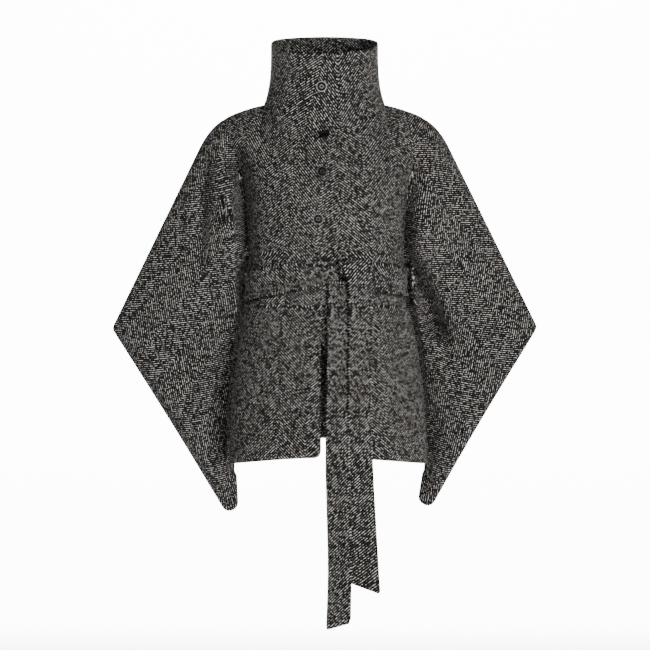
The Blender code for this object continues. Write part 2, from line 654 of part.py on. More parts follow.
# ---------------------------------------------------------------- collar
def collar_height(angle):
    """Height of the collar's rim, by the angle from the middle of the front."""
    heights = COLLAR_RIM_HEIGHTS
    lean = (heights["back"] - heights["front"]) / 2
    bow = heights["side"] - (heights["back"] + heights["front"]) / 2
    return (heights["back"] + heights["front"]) / 2 - lean * np.cos(angle) + bow * np.sin(angle) ** 2


def collar_grid():
    """The funnel from the over end at the front, round the neck, to the under end."""
    over_end = neck_angles(FRONT, over_edge(NECK_FRONT_HEIGHT))
    under_end = neck_angles(FRONT, under_edge(NECK_FRONT_HEIGHT))
    behind = neck_angles(BACK, 0.0)
    angle = np.concatenate((over_end, np.pi - behind[-2::-1], np.pi + behind[1:],
                            2 * np.pi - under_end[-2::-1]))
    lap = -under_end[0]
    reach = (np.abs(np.sin(angle)) ** COLLAR_ROUNDNESS
             + np.abs(np.cos(angle)) ** COLLAR_ROUNDNESS) ** (-1 / COLLAR_ROUNDNESS)
    front = np.cos(angle) > 0
    neck_deep = np.where(front, NECK_DEPTHS[FRONT], NECK_DEPTHS[BACK])
    rim_deep = np.where(front, COLLAR_RIM_DEPTHS[FRONT], COLLAR_RIM_DEPTHS[BACK])
    low = np.where(front, neck_height(angle, FRONT), neck_height(angle, BACK))
    step = COLLAR_LAP_STEP * ease((angle - 2 * np.pi + 3.2 * lap) / (2.0 * lap))
    grid = np.zeros((COLLAR_ROWS + 1, len(angle), 3))
    for row in range(COLLAR_ROWS + 1):
        share = row / COLLAR_ROWS
        flare = (1 - share) ** COLLAR_FLARE
        width = COLLAR_RIM_HALF_WIDTH + (NECK_HALF_WIDTH - COLLAR_RIM_HALF_WIDTH) * flare
        deep = rim_deep + (neck_deep - rim_deep) * (1 - share)
        grid[row, :, 0] = -(width - step) * reach * np.sin(angle)
        grid[row, :, 1] = -(deep - step) * reach * np.cos(angle)
        grid[row, :, 2] = low + (collar_height(angle) - low) * share
    return grid


collar = collar_grid()
collar_normals = outward(collar)
if (collar_normals[..., :2] * collar[..., :2]).sum() < 0:
    collar_normals *= -1
collar_normals[0, :, 2] = -COLLAR_SEAM_RISE
collar_normals[0] /= np.linalg.norm(collar_normals[0], axis=-1, keepdims=True)
wall("collar", collar + np.array((0.0, 0.0, 1.4 * SEAM)), collar_normals, DOUBLED, TWEED_FINISH)


# ---------------------------------------------------------------- belt
def waist_point(angle, height, grow):
    """A point round the waist, grown outwards. The angle runs from the front by the wearer's right."""
    right = np.sin(angle) > 0
    half_width = np.where(right, body_size("right", height), body_size("left", height)) + grow
    front = np.cos(angle) > 0
    depth = np.where(front, body_size("front", height), body_size("back", height)) + grow
    reach = (np.abs(np.sin(angle)) ** BODY_ROUNDNESS
             + np.abs(np.cos(angle)) ** BODY_ROUNDNESS) ** (-1 / BODY_ROUNDNESS)
    return -half_width * reach * np.sin(angle), -depth * reach * np.cos(angle)


def belt_grid():
    """The band from the knot round by the wearer's right side, the back and the left side."""
    before = np.linspace(-0.6, 0.0, FINE)
    out, deep = waist_point(before, np.full_like(before, BELT_BACK_HEIGHT), BELT_CLEARANCE + DOUBLED)
    first = np.interp(-BAND_END[RIGHT], -out, before)
    last = 2 * np.pi + np.interp(-BAND_END[LEFT], -out, before)
    angle = np.linspace(first, last, BELT_STEPS + 1)
    ahead = np.maximum(np.cos(angle), 0) ** 2
    middle_height = BELT_BACK_HEIGHT + (BELT_FRONT_HEIGHT - BELT_BACK_HEIGHT) * ahead
    middle_height = middle_height - BELT_TILT * np.sin(angle)
    full = np.minimum(ease((angle - first) / 0.60), ease((last - angle) / 0.20))
    width = BELT_KNOT_WIDTH + (BELT_WIDTH - BELT_KNOT_WIDTH) * full
    waist = np.full_like(angle, BELT_BACK_HEIGHT)
    grid = np.zeros((BELT_ROWS + 1, BELT_STEPS + 1, 3))
    for row in range(BELT_ROWS + 1):
        out, deep = waist_point(angle, waist, BELT_CLEARANCE + DOUBLED)
        height = middle_height + width * (row / BELT_ROWS - 0.5)
        grid[row] = np.stack((out, deep, height), axis=1)
    return grid


belt = belt_grid()
belt_normals = outward(belt)
if (belt_normals[..., :2] * belt[..., :2]).sum() < 0:
    belt_normals *= -1
wall("belt_band", belt, belt_normals, DOUBLED, TWEED_FINISH)


def tail_grid(table, slant):
    """A hanging tail: rows down, columns across, with a slanting cut end."""
    heights = column(table, TAIL_COLUMNS, "height")[::-1]
    share = np.linspace(0.0, 1.0, TAIL_ROWS + 1)
    down = heights[-1] + (heights[0] - heights[-1]) * share
    edges = {name: curve(heights, column(table, TAIL_COLUMNS, name)[::-1], down)
             for name in TAIL_COLUMNS[1:]}
    grid = np.zeros((TAIL_ROWS + 1, BELT_ROWS + 1, 3))
    for col in range(BELT_ROWS + 1):
        part = col / BELT_ROWS
        grid[:, col, 0] = edges["x_right"] + (edges["x_left"] - edges["x_right"]) * part
        grid[:, col, 1] = edges["y_right"] + (edges["y_left"] - edges["y_right"]) * part
        grid[:, col, 2] = down + slant * part * ease((share - SLANT_START) / (1 - SLANT_START))
    return grid


for name, table, slant in (("belt_tail_under", TAIL_UNDER, TAIL_SLANTS["under"]),
                           ("belt_tail_over", TAIL_OVER, TAIL_SLANTS["over"])):
    tail = tail_grid(table, slant)
    tail_normals = outward(tail)
    if tail_normals[..., 1].mean() > 0:
        tail_normals *= -1
    wall(name, tail, tail_normals, DOUBLED, TWEED_FINISH)


def power(values, exponent):
    """The values to a power, with their signs kept."""
    return np.sign(values) * np.abs(values) ** exponent


def lump(name, centre, halves, finish):
    """A rounded bundle of cloth: a squarish ball."""
    up = np.pi * np.arange(1, KNOT_LEVELS) / KNOT_LEVELS - np.pi / 2
    turn = 2 * np.pi * np.arange(KNOT_STEPS) / KNOT_STEPS
    flat = np.cos(up)[:, None] ** KNOT_SQUARENESS
    across = flat * power(np.cos(turn), KNOT_SQUARENESS)
    deep = flat * power(np.sin(turn), KNOT_SQUARENESS)
    tall = np.broadcast_to(power(np.sin(up), KNOT_SQUARENESS)[:, None], across.shape)
    ball = np.stack((across, deep, tall), axis=-1).reshape(-1, 3)
    ball = np.vstack((ball, (0.0, 0.0, -1.0), (0.0, 0.0, 1.0)))
    faces = grid_faces(KNOT_LEVELS - 1, KNOT_STEPS, 0, False, closed=True)
    bottom = len(ball) - 2
    last = (KNOT_LEVELS - 2) * KNOT_STEPS
    for step in range(KNOT_STEPS):
        following = (step + 1) % KNOT_STEPS
        faces.append([bottom, following, step])
        faces.append([bottom + 1, last + step, last + following])
    return add_object(name, np.array(centre) + ball * np.array(halves), faces, finish)


knot_deep = -body_size("front", BELT_BACK_HEIGHT) - BELT_CLEARANCE - KNOT_HALVES[1]
lump("belt_knot", (KNOT_CENTRE[0], knot_deep, KNOT_CENTRE[1]), KNOT_HALVES, TWEED_FINISH)


# ---------------------------------------------------------------- buttons
def finer(grid, times):
    """The grid with evenly spaced points added between its own."""
    rows = np.linspace(0, grid.shape[0] - 1, (grid.shape[0] - 1) * times + 1)
    columns = np.linspace(0, grid.shape[1] - 1, (grid.shape[1] - 1) * times + 1)
    low = np.minimum(rows.astype(int), grid.shape[0] - 2)
    share = (rows - low)[:, None, None]
    tall = grid[low] * (1 - share) + grid[low + 1] * share
    low = np.minimum(columns.astype(int), grid.shape[1] - 2)
    share = (columns - low)[None, :, None]
    return tall[:, low] * (1 - share) + tall[:, low + 1] * share


def front_surface(out, height, nod, roll):
    """Where a button rests on the over front and the collar, and the direction it faces."""
    sources = (collar[:, :NECK_COLUMNS], grids["front_right"])
    facings = (collar_normals[:, :NECK_COLUMNS], normals["front_right"])
    points = np.concatenate([finer(source, BUTTON_SEARCH).reshape(-1, 3) for source in sources])
    directions = np.concatenate([finer(facing, BUTTON_SEARCH).reshape(-1, 3) for facing in facings])
    away = np.hypot(points[:, 0] - out, points[:, 2] - height)
    under = away < BUTTON_DIAMETER / 2
    normal = directions[under].mean(axis=0)
    leaning = np.array((-np.sin(np.radians(roll)), 0.0, np.cos(np.radians(roll))))
    normal = normal * np.cos(np.radians(nod)) - leaning * np.sin(np.radians(nod))
    normal /= np.linalg.norm(normal)
    place = np.array((out, points[np.argmin(away), 1], height))
    rise = (points - place) @ normal
    beside = np.linalg.norm(points - place - rise[:, None] * normal, axis=1)
    highest = rise[(beside < BUTTON_DIAMETER / 2) & (away < BUTTON_DIAMETER)].max()
    return place + normal * (highest + BUTTON_STANDOFF), normal


BUTTON_PROFILE_COLUMNS = ("radius", "thickness")
BUTTON_PROFILE = (          # shares, from the back to the front
    (0.94, 0.00),
    (1.00, 0.25),
    (1.00, 0.72),
    (0.93, 1.00),
    (0.80, 1.00),
    (0.70, 0.62),
    (0.34, 0.62),
)


def button(name, out, height, nod, roll):
    """A turned disc with a raised rim and a shallow dish, lying along the cloth."""
    base, normal = front_surface(out, height, nod, roll)
    up = np.array((0.0, 0.0, 1.0)) - normal * normal[2]
    up /= np.linalg.norm(up)
    across = np.cross(up, normal)
    turn = 2 * np.pi * np.arange(BUTTON_STEPS) / BUTTON_STEPS
    spokes = np.cos(turn)[:, None] * across + np.sin(turn)[:, None] * up
    radius = column(BUTTON_PROFILE, BUTTON_PROFILE_COLUMNS, "radius") * BUTTON_DIAMETER / 2
    thick = column(BUTTON_PROFILE, BUTTON_PROFILE_COLUMNS, "thickness") * BUTTON_THICKNESS
    points = base + radius[:, None, None] * spokes + thick[:, None, None] * normal
    faces = grid_faces(len(BUTTON_PROFILE), BUTTON_STEPS, 0, False, closed=True)
    faces.append(list(range(BUTTON_STEPS))[::-1])
    last = (len(BUTTON_PROFILE) - 1) * BUTTON_STEPS
    faces.append([last + step for step in range(BUTTON_STEPS)])
    return add_object(name, points.reshape(-1, 3), faces, BUTTON_FINISH)


for number, place in enumerate(BUTTON_PLACES, start=1):
    button(f"button_{number}", *place)
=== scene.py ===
# %% [markdown]
# # A belted tweed cape jacket
# The jacket is worn but nobody is in it: the cloth keeps the hollow form of a wearer. Everything here is
# one thick wool cloth, cut in a few pieces, so most of this lesson is about two things: bending flat
# grids of points into the garment's pieces, and drawing a herringbone weave that follows each piece as it
# was cut. The imported CAD model comes in first. Its solids are plain walls, and each one is hidden and
# replaced by a finer sheet of cloth on the same form, while MuJoCo keeps the solid for collision.

import bpy
import numpy as np
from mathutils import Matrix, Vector


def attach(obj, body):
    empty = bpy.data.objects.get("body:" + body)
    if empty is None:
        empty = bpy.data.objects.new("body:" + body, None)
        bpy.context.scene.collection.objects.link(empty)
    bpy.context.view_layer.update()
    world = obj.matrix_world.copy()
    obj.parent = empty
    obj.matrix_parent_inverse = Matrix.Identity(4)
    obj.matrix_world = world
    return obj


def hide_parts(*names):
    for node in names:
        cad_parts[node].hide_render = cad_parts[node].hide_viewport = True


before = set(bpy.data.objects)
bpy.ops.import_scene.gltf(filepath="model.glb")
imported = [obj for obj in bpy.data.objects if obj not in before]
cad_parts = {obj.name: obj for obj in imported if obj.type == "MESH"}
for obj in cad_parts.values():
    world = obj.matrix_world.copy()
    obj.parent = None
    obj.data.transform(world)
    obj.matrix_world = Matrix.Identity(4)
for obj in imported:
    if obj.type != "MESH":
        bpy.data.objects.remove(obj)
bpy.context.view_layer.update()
print("CAD nodes:", ", ".join(sorted(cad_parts)))

# %% [markdown]
# ## Camera
# The photograph was taken with a long lens from a little above the chest, looking almost level. A long
# lens keeps both sleeves the same size. The camera is placed by three numbers, its distance, its height
# and how far it looks down, and the rest follows.

# %% Camera
CAMERA_DISTANCE = 4.5
CAMERA_HEIGHT = -0.20
CAMERA_ACROSS = 0.001
LOOKS_DOWN = np.radians(3.0)
LENS, SENSOR_WIDTH = 125.0, 36.0    # mm

camera = bpy.data.objects.new("camera", bpy.data.cameras.new("camera"))
bpy.context.scene.collection.objects.link(camera)
camera.data.lens = LENS
camera.data.sensor_width = SENSOR_WIDTH
camera.location = (CAMERA_ACROSS, -CAMERA_DISTANCE, CAMERA_HEIGHT)
camera.rotation_euler = (np.pi / 2 - LOOKS_DOWN, 0.0, 0.0)
bpy.context.scene.camera = camera
print("camera", [round(value, 3) for value in camera.location], "lens", LENS, "mm")

# %% [markdown]
# ## Backdrop
# A white paper sweep: a floor that curves up into a wall with no corner. It lies where the wearer would
# stand, well below the jacket, so no shadow falls in the picture. Only the part behind the jacket glows:
# lamps alone would leave it grey, and a glow all over would light the cloth from every side and flatten
# its folds.

# %% Backdrop
FLOOR_HEIGHT = -1.42
SWEEP_DEPTHS = (-12.0, 7.0)     # from behind the camera to where the paper starts to rise
SWEEP_RADIUS = 3.0
SWEEP_TOP = 9.0
SWEEP_HALF_WIDTH = 12.0
SWEEP_STEPS = 24            # points in the bend
SWEEP_GLOW = 12.0           # behind the jacket the paper is lit until it is plain white
GLOW_LIMITS = (             # axis, where the paper is dark, where it is bright
    ("X", -3.6, -2.6), ("X", 3.6, 2.6), ("Y", 1.2, 2.0), ("Z", 2.4, 1.6),
)


def node(tree, kind, settings=None, links=None):
    """Adds a shader node. settings fill its properties and inputs, and links join outputs to its inputs."""
    made = tree.nodes.new(kind)
    for name, value in (settings or {}).items():
        if isinstance(name, str) and hasattr(made, name):
            setattr(made, name, value)
        else:
            made.inputs[name].default_value = value
    for name, output in (links or {}).items():
        tree.links.new(output, made.inputs[name])
    return made


def linear(hex_colour):
    """An sRGB colour such as "8a8378" as the linear colour that a shader wants."""
    parts = np.array([int(hex_colour[start:start + 2], 16) for start in (0, 2, 4)]) / 255
    parts = np.where(parts <= 0.04045, parts / 12.92, ((parts + 0.055) / 1.055) ** 2.4)
    return (*parts, 1.0)


def new_material(name):
    """A material with an empty Principled shader: the material, its node tree and the shader."""
    made = bpy.data.materials.new(name)
    made.use_nodes = True
    return made, made.node_tree, made.node_tree.nodes["Principled BSDF"]


arc = np.linspace(0.0, np.pi / 2, SWEEP_STEPS)
sweep_y = np.concatenate(([SWEEP_DEPTHS[0]], SWEEP_DEPTHS[1] + SWEEP_RADIUS * np.sin(arc)))
sweep_z = np.concatenate(([FLOOR_HEIGHT], FLOOR_HEIGHT + SWEEP_RADIUS * (1 - np.cos(arc))))
sweep_y = np.append(sweep_y, sweep_y[-1])
sweep_z = np.append(sweep_z, SWEEP_TOP)
sweep_points = [(x, y, z) for x in (-SWEEP_HALF_WIDTH, SWEEP_HALF_WIDTH) for y, z in zip(sweep_y, sweep_z)]
count = len(sweep_y)
sweep_faces = [(k, k + 1, k + 1 + count, k + count) for k in range(count - 1)]
sweep_mesh = bpy.data.meshes.new("paper_sweep")
sweep_mesh.from_pydata(sweep_points, [], sweep_faces)
sweep_mesh.shade_smooth()
sweep = bpy.data.objects.new("paper_sweep", sweep_mesh)
bpy.context.scene.collection.objects.link(sweep)
paper, paper_tree, paper_shader = new_material("white_paper")
paper_shader.inputs["Base Color"].default_value = linear("fbfbfb")
paper_shader.inputs["Roughness"].default_value = 0.9
paper_shader.inputs["Emission Color"].default_value = (1.0, 1.0, 1.0, 1.0)
paper_place = node(paper_tree, "ShaderNodeTexCoord").outputs["Object"]
paper_axes = node(paper_tree, "ShaderNodeSeparateXYZ", links={0: paper_place})
glow = node(paper_tree, "ShaderNodeValue")
glow.outputs[0].default_value = SWEEP_GLOW
glow = glow.outputs[0]
for axis, dark, bright in GLOW_LIMITS:
    limit = node(paper_tree, "ShaderNodeMapRange", {"From Min": dark, "From Max": bright},
                 {"Value": paper_axes.outputs[axis]})
    dimmed = node(paper_tree, "ShaderNodeMath", {"operation": "MULTIPLY"}, {0: glow, 1: limit.outputs[0]})
    glow = dimmed.outputs[0]
paper_tree.links.new(glow, paper_shader.inputs["Emission Strength"])
sweep_mesh.materials.append(paper)
print("sweep", len(sweep_faces), "faces")

# %% [markdown]
# ## Light
# The key lamp is large and soft, and stands low and almost in front, a little to the right. From there it
# reaches under the wide sleeves but not into the collar or the deep folds, which stay black as in the
# photo. A weaker lamp fills in from the left, one overhead picks out the shoulders, and the even surround
# is kept weak, because it would grey the shadows.

# %% Lights
LIGHTS = (                  # name, place, aim, size in metres, watts
    ("key", (2.0, -4.0, -0.2), (0.05, 0.0, -0.35), 1.6, 129.0),
    ("fill", (-1.9, -4.1, -0.8), (0.0, 0.0, -0.4), 2.0, 33.0),
    ("top", (0.4, -2.6, 2.0), (0.0, 0.0, -0.2), 1.6, 22.0),
)
SURROUND_STRENGTH = 0.06
for name, place, aim, size, watts in LIGHTS:
    lamp = bpy.data.objects.new(name, bpy.data.lights.new(name, "AREA"))
    lamp.data.shape = "DISK"
    lamp.data.size = size
    lamp.data.energy = watts
    lamp.location = place
    lamp.rotation_euler = (Vector(aim) - Vector(place)).to_track_quat("-Z", "Y").to_euler()
    bpy.context.scene.collection.objects.link(lamp)
world = bpy.data.worlds.new("soft_surround")
world.use_nodes = True
world.node_tree.nodes["Background"].inputs["Color"].default_value = linear("ffffff")
world.node_tree.nodes["Background"].inputs["Strength"].default_value = SURROUND_STRENGTH
bpy.context.scene.world = world
print(len(LIGHTS), "lamps and a soft surround")

# %% [markdown]
# ## Small tools for bending grids
# Each piece of cloth is a grid of points: rows down it and columns across it. A handful of helpers make
# the grids: a smooth curve through a short table, a soft step, and a way to divide a curve evenly. They
# work on whole arrays.

# %% Curves and soft steps
RIGHT, LEFT = -1, 1         # the wearer's sides, towards -X and +X
FRONT, BACK = -1, 1         # towards -Y and +Y
FINE = 360                  # points in a curve before it is divided evenly
BEYOND_MIDDLE = -0.6        # a curve begins this far past its middle, in radians, because the fronts lap


def column(table, columns, name):
    """One named column of a table, as an array."""
    return np.array([row[columns.index(name)] for row in table], dtype=float)


def cubic(share, first, leave, last, arrive):
    """From first to last as share goes from 0 to 1, with the slopes leave and arrive at the two ends."""
    return ((1 + 2 * share) * (1 - share) ** 2 * first + share * (1 - share) ** 2 * leave
            + share ** 2 * (3 - 2 * share) * last + share ** 2 * (share - 1) * arrive)


def curve(knots, values, at):
    """A cubic through the table's points, whose slope at each is the harmonic mean of the rises beside it."""
    knots = np.asarray(knots, dtype=float)
    values = np.asarray(values, dtype=float)
    rises = np.diff(values) / np.diff(knots)
    slopes = np.concatenate((rises[:1], np.zeros(len(rises) - 1), rises[-1:]))
    same_way = rises[:-1] * rises[1:] > 0
    total = np.where(same_way, rises[:-1] + rises[1:], 1.0)
    slopes[1:-1] = np.where(same_way, 2 * rises[:-1] * rises[1:] / total, 0.0)
    at = np.clip(at, knots[0], knots[-1])
    cell = np.clip(np.searchsorted(knots, at, side="right") - 1, 0, len(knots) - 2)
    span = knots[cell + 1] - knots[cell]
    share = (at - knots[cell]) / span
    return cubic(share, values[cell], span * slopes[cell], values[cell + 1], span * slopes[cell + 1])


def ease(share):
    """0 to 1 with a soft start and end: 3s^2 - 2s^3."""
    share = np.clip(share, 0.0, 1.0)
    return share * share * (3 - 2 * share)


def bell(away, width):
    """1 in the middle, fading on both sides as e to the -(away / width)^2."""
    return np.exp(-(away / width) ** 2)


def unit(vectors):
    """The vectors, each divided by its own length."""
    return vectors / np.maximum(np.linalg.norm(vectors, axis=-1, keepdims=True), 1e-9)


def run_length(points):
    """How far along its curve each point lies: the lengths of the steps, added up."""
    return np.concatenate(([0.0], np.cumsum(np.linalg.norm(np.diff(points, axis=0), axis=1))))


def divide(points, count):
    """The curve through the points, divided into equal lengths."""
    length = run_length(points)
    at = np.linspace(0.0, length[-1], count + 1)
    return np.stack([np.interp(at, length, points[:, k]) for k in range(points.shape[1])], axis=1)


def squarish(angle, roundness):
    """How far out a squarish round lies at an angle: (|sin|^n + |cos|^n)^(-1/n). n = 2 is a circle."""
    return (np.abs(np.sin(angle)) ** roundness + np.abs(np.cos(angle)) ** roundness) ** (-1 / roundness)


print("soft step at a quarter:", round(float(ease(0.25)), 3))

# %% [markdown]
# ## The body's sections
# A maker thinks of a jacket as widths at heights: hem, hip, waist, chest, shoulder. This table says the
# same, in metres, with the depth before and behind the side seam. A squarish round is drawn through each
# row, and a smooth curve joins the rows, so the waist is drawn in where the belt ties it.

# %% Measurements of the body
ARMPIT_HEIGHT = -0.288
WAIST_LOW_HEIGHT = -0.392
WAIST_HIGH_HEIGHT = -0.308
NECK_FRONT_HEIGHT = -0.055
NECK_BACK_HEIGHT = 0.020
HEM_SIDE_HEIGHT = -0.709
HEM_FRONT_HEIGHT = -0.686
HEM_BACK_HEIGHT = -0.675
YOKE_FRONT_HEIGHT = -0.138  # where the chest's rounds end and the shoulder's roll begins
YOKE_BACK_HEIGHT = -0.0899
SIDE_NAMES = {RIGHT: "right", LEFT: "left"}
FACE_NAMES = {FRONT: "front", BACK: "back"}
BODY_COLUMNS = ("height", "right", "left", "front", "back")
BODY_SECTIONS = (
    (-0.720, 0.192, 0.208, 0.139, 0.138),
    (-0.600, 0.187, 0.200, 0.133, 0.132),
    (-0.490, 0.174, 0.187, 0.124, 0.118),
    (-0.415, 0.158, 0.170, 0.114, 0.100),
    (WAIST_LOW_HEIGHT, 0.152, 0.159, 0.109, 0.090),
    (WAIST_HIGH_HEIGHT, 0.152, 0.159, 0.109, 0.090),
    (-0.278, 0.156, 0.161, 0.115, 0.094),
    (-0.200, 0.163, 0.165, 0.124, 0.101),
    (-0.100, 0.172, 0.174, 0.112, 0.103),
    (0.000, 0.176, 0.178, 0.098, 0.092),
)
BODY_ROUNDNESS = 2.3        # 2 is an ellipse, and a higher number is squarer
NECK_HALF_WIDTH = 0.120
NECK_DEPTHS = {FRONT: 0.100, BACK: 0.086}
NECK_DIP = {FRONT: 2.2, BACK: 2.0}      # how sharply the neckline dips to its middle
NECK_SIDE_HEIGHT = 0.002
SHOULDER_COLUMNS = ("out", "height")
SHOULDER_SEAM = ((0.120, 0.002), (0.141, -0.003), (0.163, -0.010), (0.186, -0.019), (0.203, -0.029))
SHOULDER_ROLL = 0.085       # how long the cloth keeps level before the shoulder seam
NECK_LEAN = 0.055           # how long it keeps upright before the neckline
NECK_WAY = (0.35, 0.94)     # its way there: towards the other face, and up
ROLL_START, ROLL_SPAN = 0.18, 0.30      # shares of the row: how long before the neck point it turns level
COLLAR_ROUNDNESS = 2.4
ARMHOLE_DEPTHS = {FRONT: 0.052, BACK: 0.062}
ARMHOLE_LOW_SHARE = {FRONT: 0.62, BACK: 0.80}   # the loop is shallower near the armpit
ARMHOLE_FULL = 0.8          # share of its height at which it has its full depth
ARMHOLE_ROUNDNESS = 2.8
ARMHOLE_SPREAD = 3.0        # how late the loop swings out to the shoulder point
LAP_COLUMNS = ("height", "over", "under")
LAP_EDGES = (               # X of the two front edges: the wearer's right front lies over the left one
    (-0.720, -0.008, 0.028),
    (-0.500, -0.009, 0.024),
    (-0.455, -0.008, -0.008),
    (-0.345, 0.006, -0.010),
    (-0.230, 0.020, -0.016),
    (-0.140, 0.027, -0.025),
    (0.150, 0.026, -0.026),
)
LAP_STEP = 0.0046           # the under front lies this much further back,
LAP_FADE = (0.034, 0.085)   # in full up to the first X, and no more from the second on

# Rows and columns of the fine grids. A cell is about 6 mm, and at the waist 2 mm high, for the belt's groove.
SKIRT_ROWS, WAIST_ROWS, CHEST_ROWS, ARMHOLE_ROWS = 49, 44, 4, 56
LOWER_ROWS = SKIRT_ROWS + WAIST_ROWS + CHEST_ROWS
NECK_COLUMNS, SEAM_COLUMNS = 32, 12
PANEL_COLUMNS = NECK_COLUMNS + SEAM_COLUMNS


def body_size(name, height):
    """A width or depth of the body at a height."""
    heights = column(BODY_SECTIONS, BODY_COLUMNS, "height")
    return curve(heights, column(BODY_SECTIONS, BODY_COLUMNS, name), height)


def lap_edge(name, height):
    """X of the over or under front's edge at a height."""
    return curve(column(LAP_EDGES, LAP_COLUMNS, "height"), column(LAP_EDGES, LAP_COLUMNS, name), height)


waist_width = body_size("right", WAIST_LOW_HEIGHT) + body_size("left", WAIST_LOW_HEIGHT)
print("waist", round(float(waist_width), 3), "m wide")

# %% [markdown]
# ## Neckline, armholes and shoulder seam
# The pieces meet along three kinds of line, and each line is worked out once, so the pieces on both sides
# of a seam share its points: the neckline is low in front and high behind, the armhole is a tall loop
# that swings out to the shoulder point, and the shoulder seam joins the two.

# %% Seam lines
def neck_height(angle, face):
    """Height of the neckline: side height plus (middle - side) cos^p of the angle from the middle."""
    middle = NECK_FRONT_HEIGHT if face == FRONT else NECK_BACK_HEIGHT
    return NECK_SIDE_HEIGHT + (middle - NECK_SIDE_HEIGHT) * np.abs(np.cos(angle)) ** NECK_DIP[face]


def neck_loop(angle, face):
    """Points of the neckline: a squarish round with the height of neck_height."""
    reach = squarish(angle, COLLAR_ROUNDNESS)
    return np.stack((NECK_HALF_WIDTH * reach * np.sin(angle),
                     face * NECK_DEPTHS[face] * reach * np.cos(angle), neck_height(angle, face)), axis=-1)


def neck_angles(face, start, count=NECK_COLUMNS):
    """Angles that divide the neckline evenly, from X = start to the neck point."""
    angle = np.linspace(BEYOND_MIDDLE, np.pi / 2, FINE)
    loop = neck_loop(angle, face)
    length = run_length(loop)
    first = np.interp(start, loop[:, 0], length)
    return np.interp(np.linspace(first, length[-1], count + 1), length, angle)


def armhole(side, face):
    """The armhole's front or back half, armpit to shoulder: a squarish half loop, divided evenly."""
    turn = np.linspace(-np.pi / 2, np.pi / 2, FINE)
    rise = np.sign(np.sin(turn)) * np.abs(np.sin(turn)) ** (2 / ARMHOLE_ROUNDNESS)
    share = (1 + rise) / 2
    low = ARMHOLE_LOW_SHARE[face]
    deep = face * ARMHOLE_DEPTHS[face] * np.abs(np.cos(turn)) ** (2 / ARMHOLE_ROUNDNESS)
    deep = deep * (low + (1 - low) * ease(share / ARMHOLE_FULL))
    top_out, top_height = SHOULDER_SEAM[-1]
    armpit_out = body_size(SIDE_NAMES[side], ARMPIT_HEIGHT)
    out = armpit_out + (top_out - armpit_out) * share ** ARMHOLE_SPREAD
    height = ARMPIT_HEIGHT + (top_height - ARMPIT_HEIGHT) * share
    return divide(np.stack((out, deep, height), axis=1), ARMHOLE_ROWS)


def top_line(face, start):
    """The neckline from X = start to the neck point, and then the shoulder seam."""
    neck = neck_loop(neck_angles(face, start), face)
    out = np.linspace(SHOULDER_SEAM[0][0], SHOULDER_SEAM[-1][0], FINE)
    height = curve(column(SHOULDER_SEAM, SHOULDER_COLUMNS, "out"),
                   column(SHOULDER_SEAM, SHOULDER_COLUMNS, "height"), out)
    seam = divide(np.stack((out, np.zeros_like(out), height), axis=1), SEAM_COLUMNS)
    return np.vstack((neck, seam[1:]))


hole = armhole(RIGHT, FRONT)
print("half an armhole is", round(float(np.linalg.norm(np.diff(hole, axis=0), axis=1).sum()), 3), "m long")

# %% [markdown]
# ## Where the belt lies
# The belt comes before the body, because the tied cloth follows it: it dives in at the belt's edges and
# bulges above and below. The band's middle line rises a little towards the front, and the band narrows
# where it is tied. A cloth simulation could gather the waist, but hardly at the places that the photograph
# shows, so a narrow bell is pressed into the fine grid along the belt's two edges. It fades at the side
# seams, where the pieces must still meet.

# %% Where the belt lies
BELT_WIDTH = 0.050
BELT_CLEARANCE = 0.0012     # between the jacket and the inside of the belt
BELT_BACK_HEIGHT = -0.355
BELT_FRONT_HEIGHT = -0.333
BELT_TILT = 0.005           # it hangs this much lower on the wearer's right, and higher on the left
BELT_KNOT_WIDTH = 0.026     # gathered at the tie
BAND_END = {RIGHT: 0.0270, LEFT: 0.0520}    # X of the two ends, behind the tails
GATHER_ANGLES = {RIGHT: 0.60, LEFT: 0.20}   # radians of the waist in which the band narrows to the knot
TIE_ANGLE = -0.02           # where the tie is, for the groove, in radians from the middle of the front


def belt_angle(x, y):
    """The angle round the waist from the front by the wearer's right, from 0 to two pi."""
    half_width = np.where(x < 0, body_size("right", BELT_BACK_HEIGHT), body_size("left", BELT_BACK_HEIGHT))
    depth = np.where(y < 0, body_size("front", BELT_BACK_HEIGHT), body_size("back", BELT_BACK_HEIGHT))
    return np.arctan2(-x / half_width, -y / depth) % (2 * np.pi)


def belt_level(angle, first, last):
    """Middle height and width of the band at an angle: it rises to the front and narrows at both ends."""
    ahead = np.maximum(np.cos(angle), 0) ** 2
    level = BELT_BACK_HEIGHT + (BELT_FRONT_HEIGHT - BELT_BACK_HEIGHT) * ahead - BELT_TILT * np.sin(angle)
    full = np.minimum(ease((angle - first) / GATHER_ANGLES[RIGHT]),
                      ease((last - angle) / GATHER_ANGLES[LEFT]))
    return level, BELT_KNOT_WIDTH + (BELT_WIDTH - BELT_KNOT_WIDTH) * full


BLOUSE = (                  # below or above the belt, height of the bulge, depth of the groove
    (-1, 0.0050, 0.0105),
    (1, 0.0035, 0.0035),
)
BLOUSE_START, BLOUSE_FADE = 0.007, 0.024        # how far from the belt the bulge is full, and fades
GROOVE_PLACE, GROOVE_WIDTH = 0.0015, 0.0040     # how far from the belt's edge the groove lies
GROOVE_FADE = 0.045         # depth from the side seam at which the groove is full


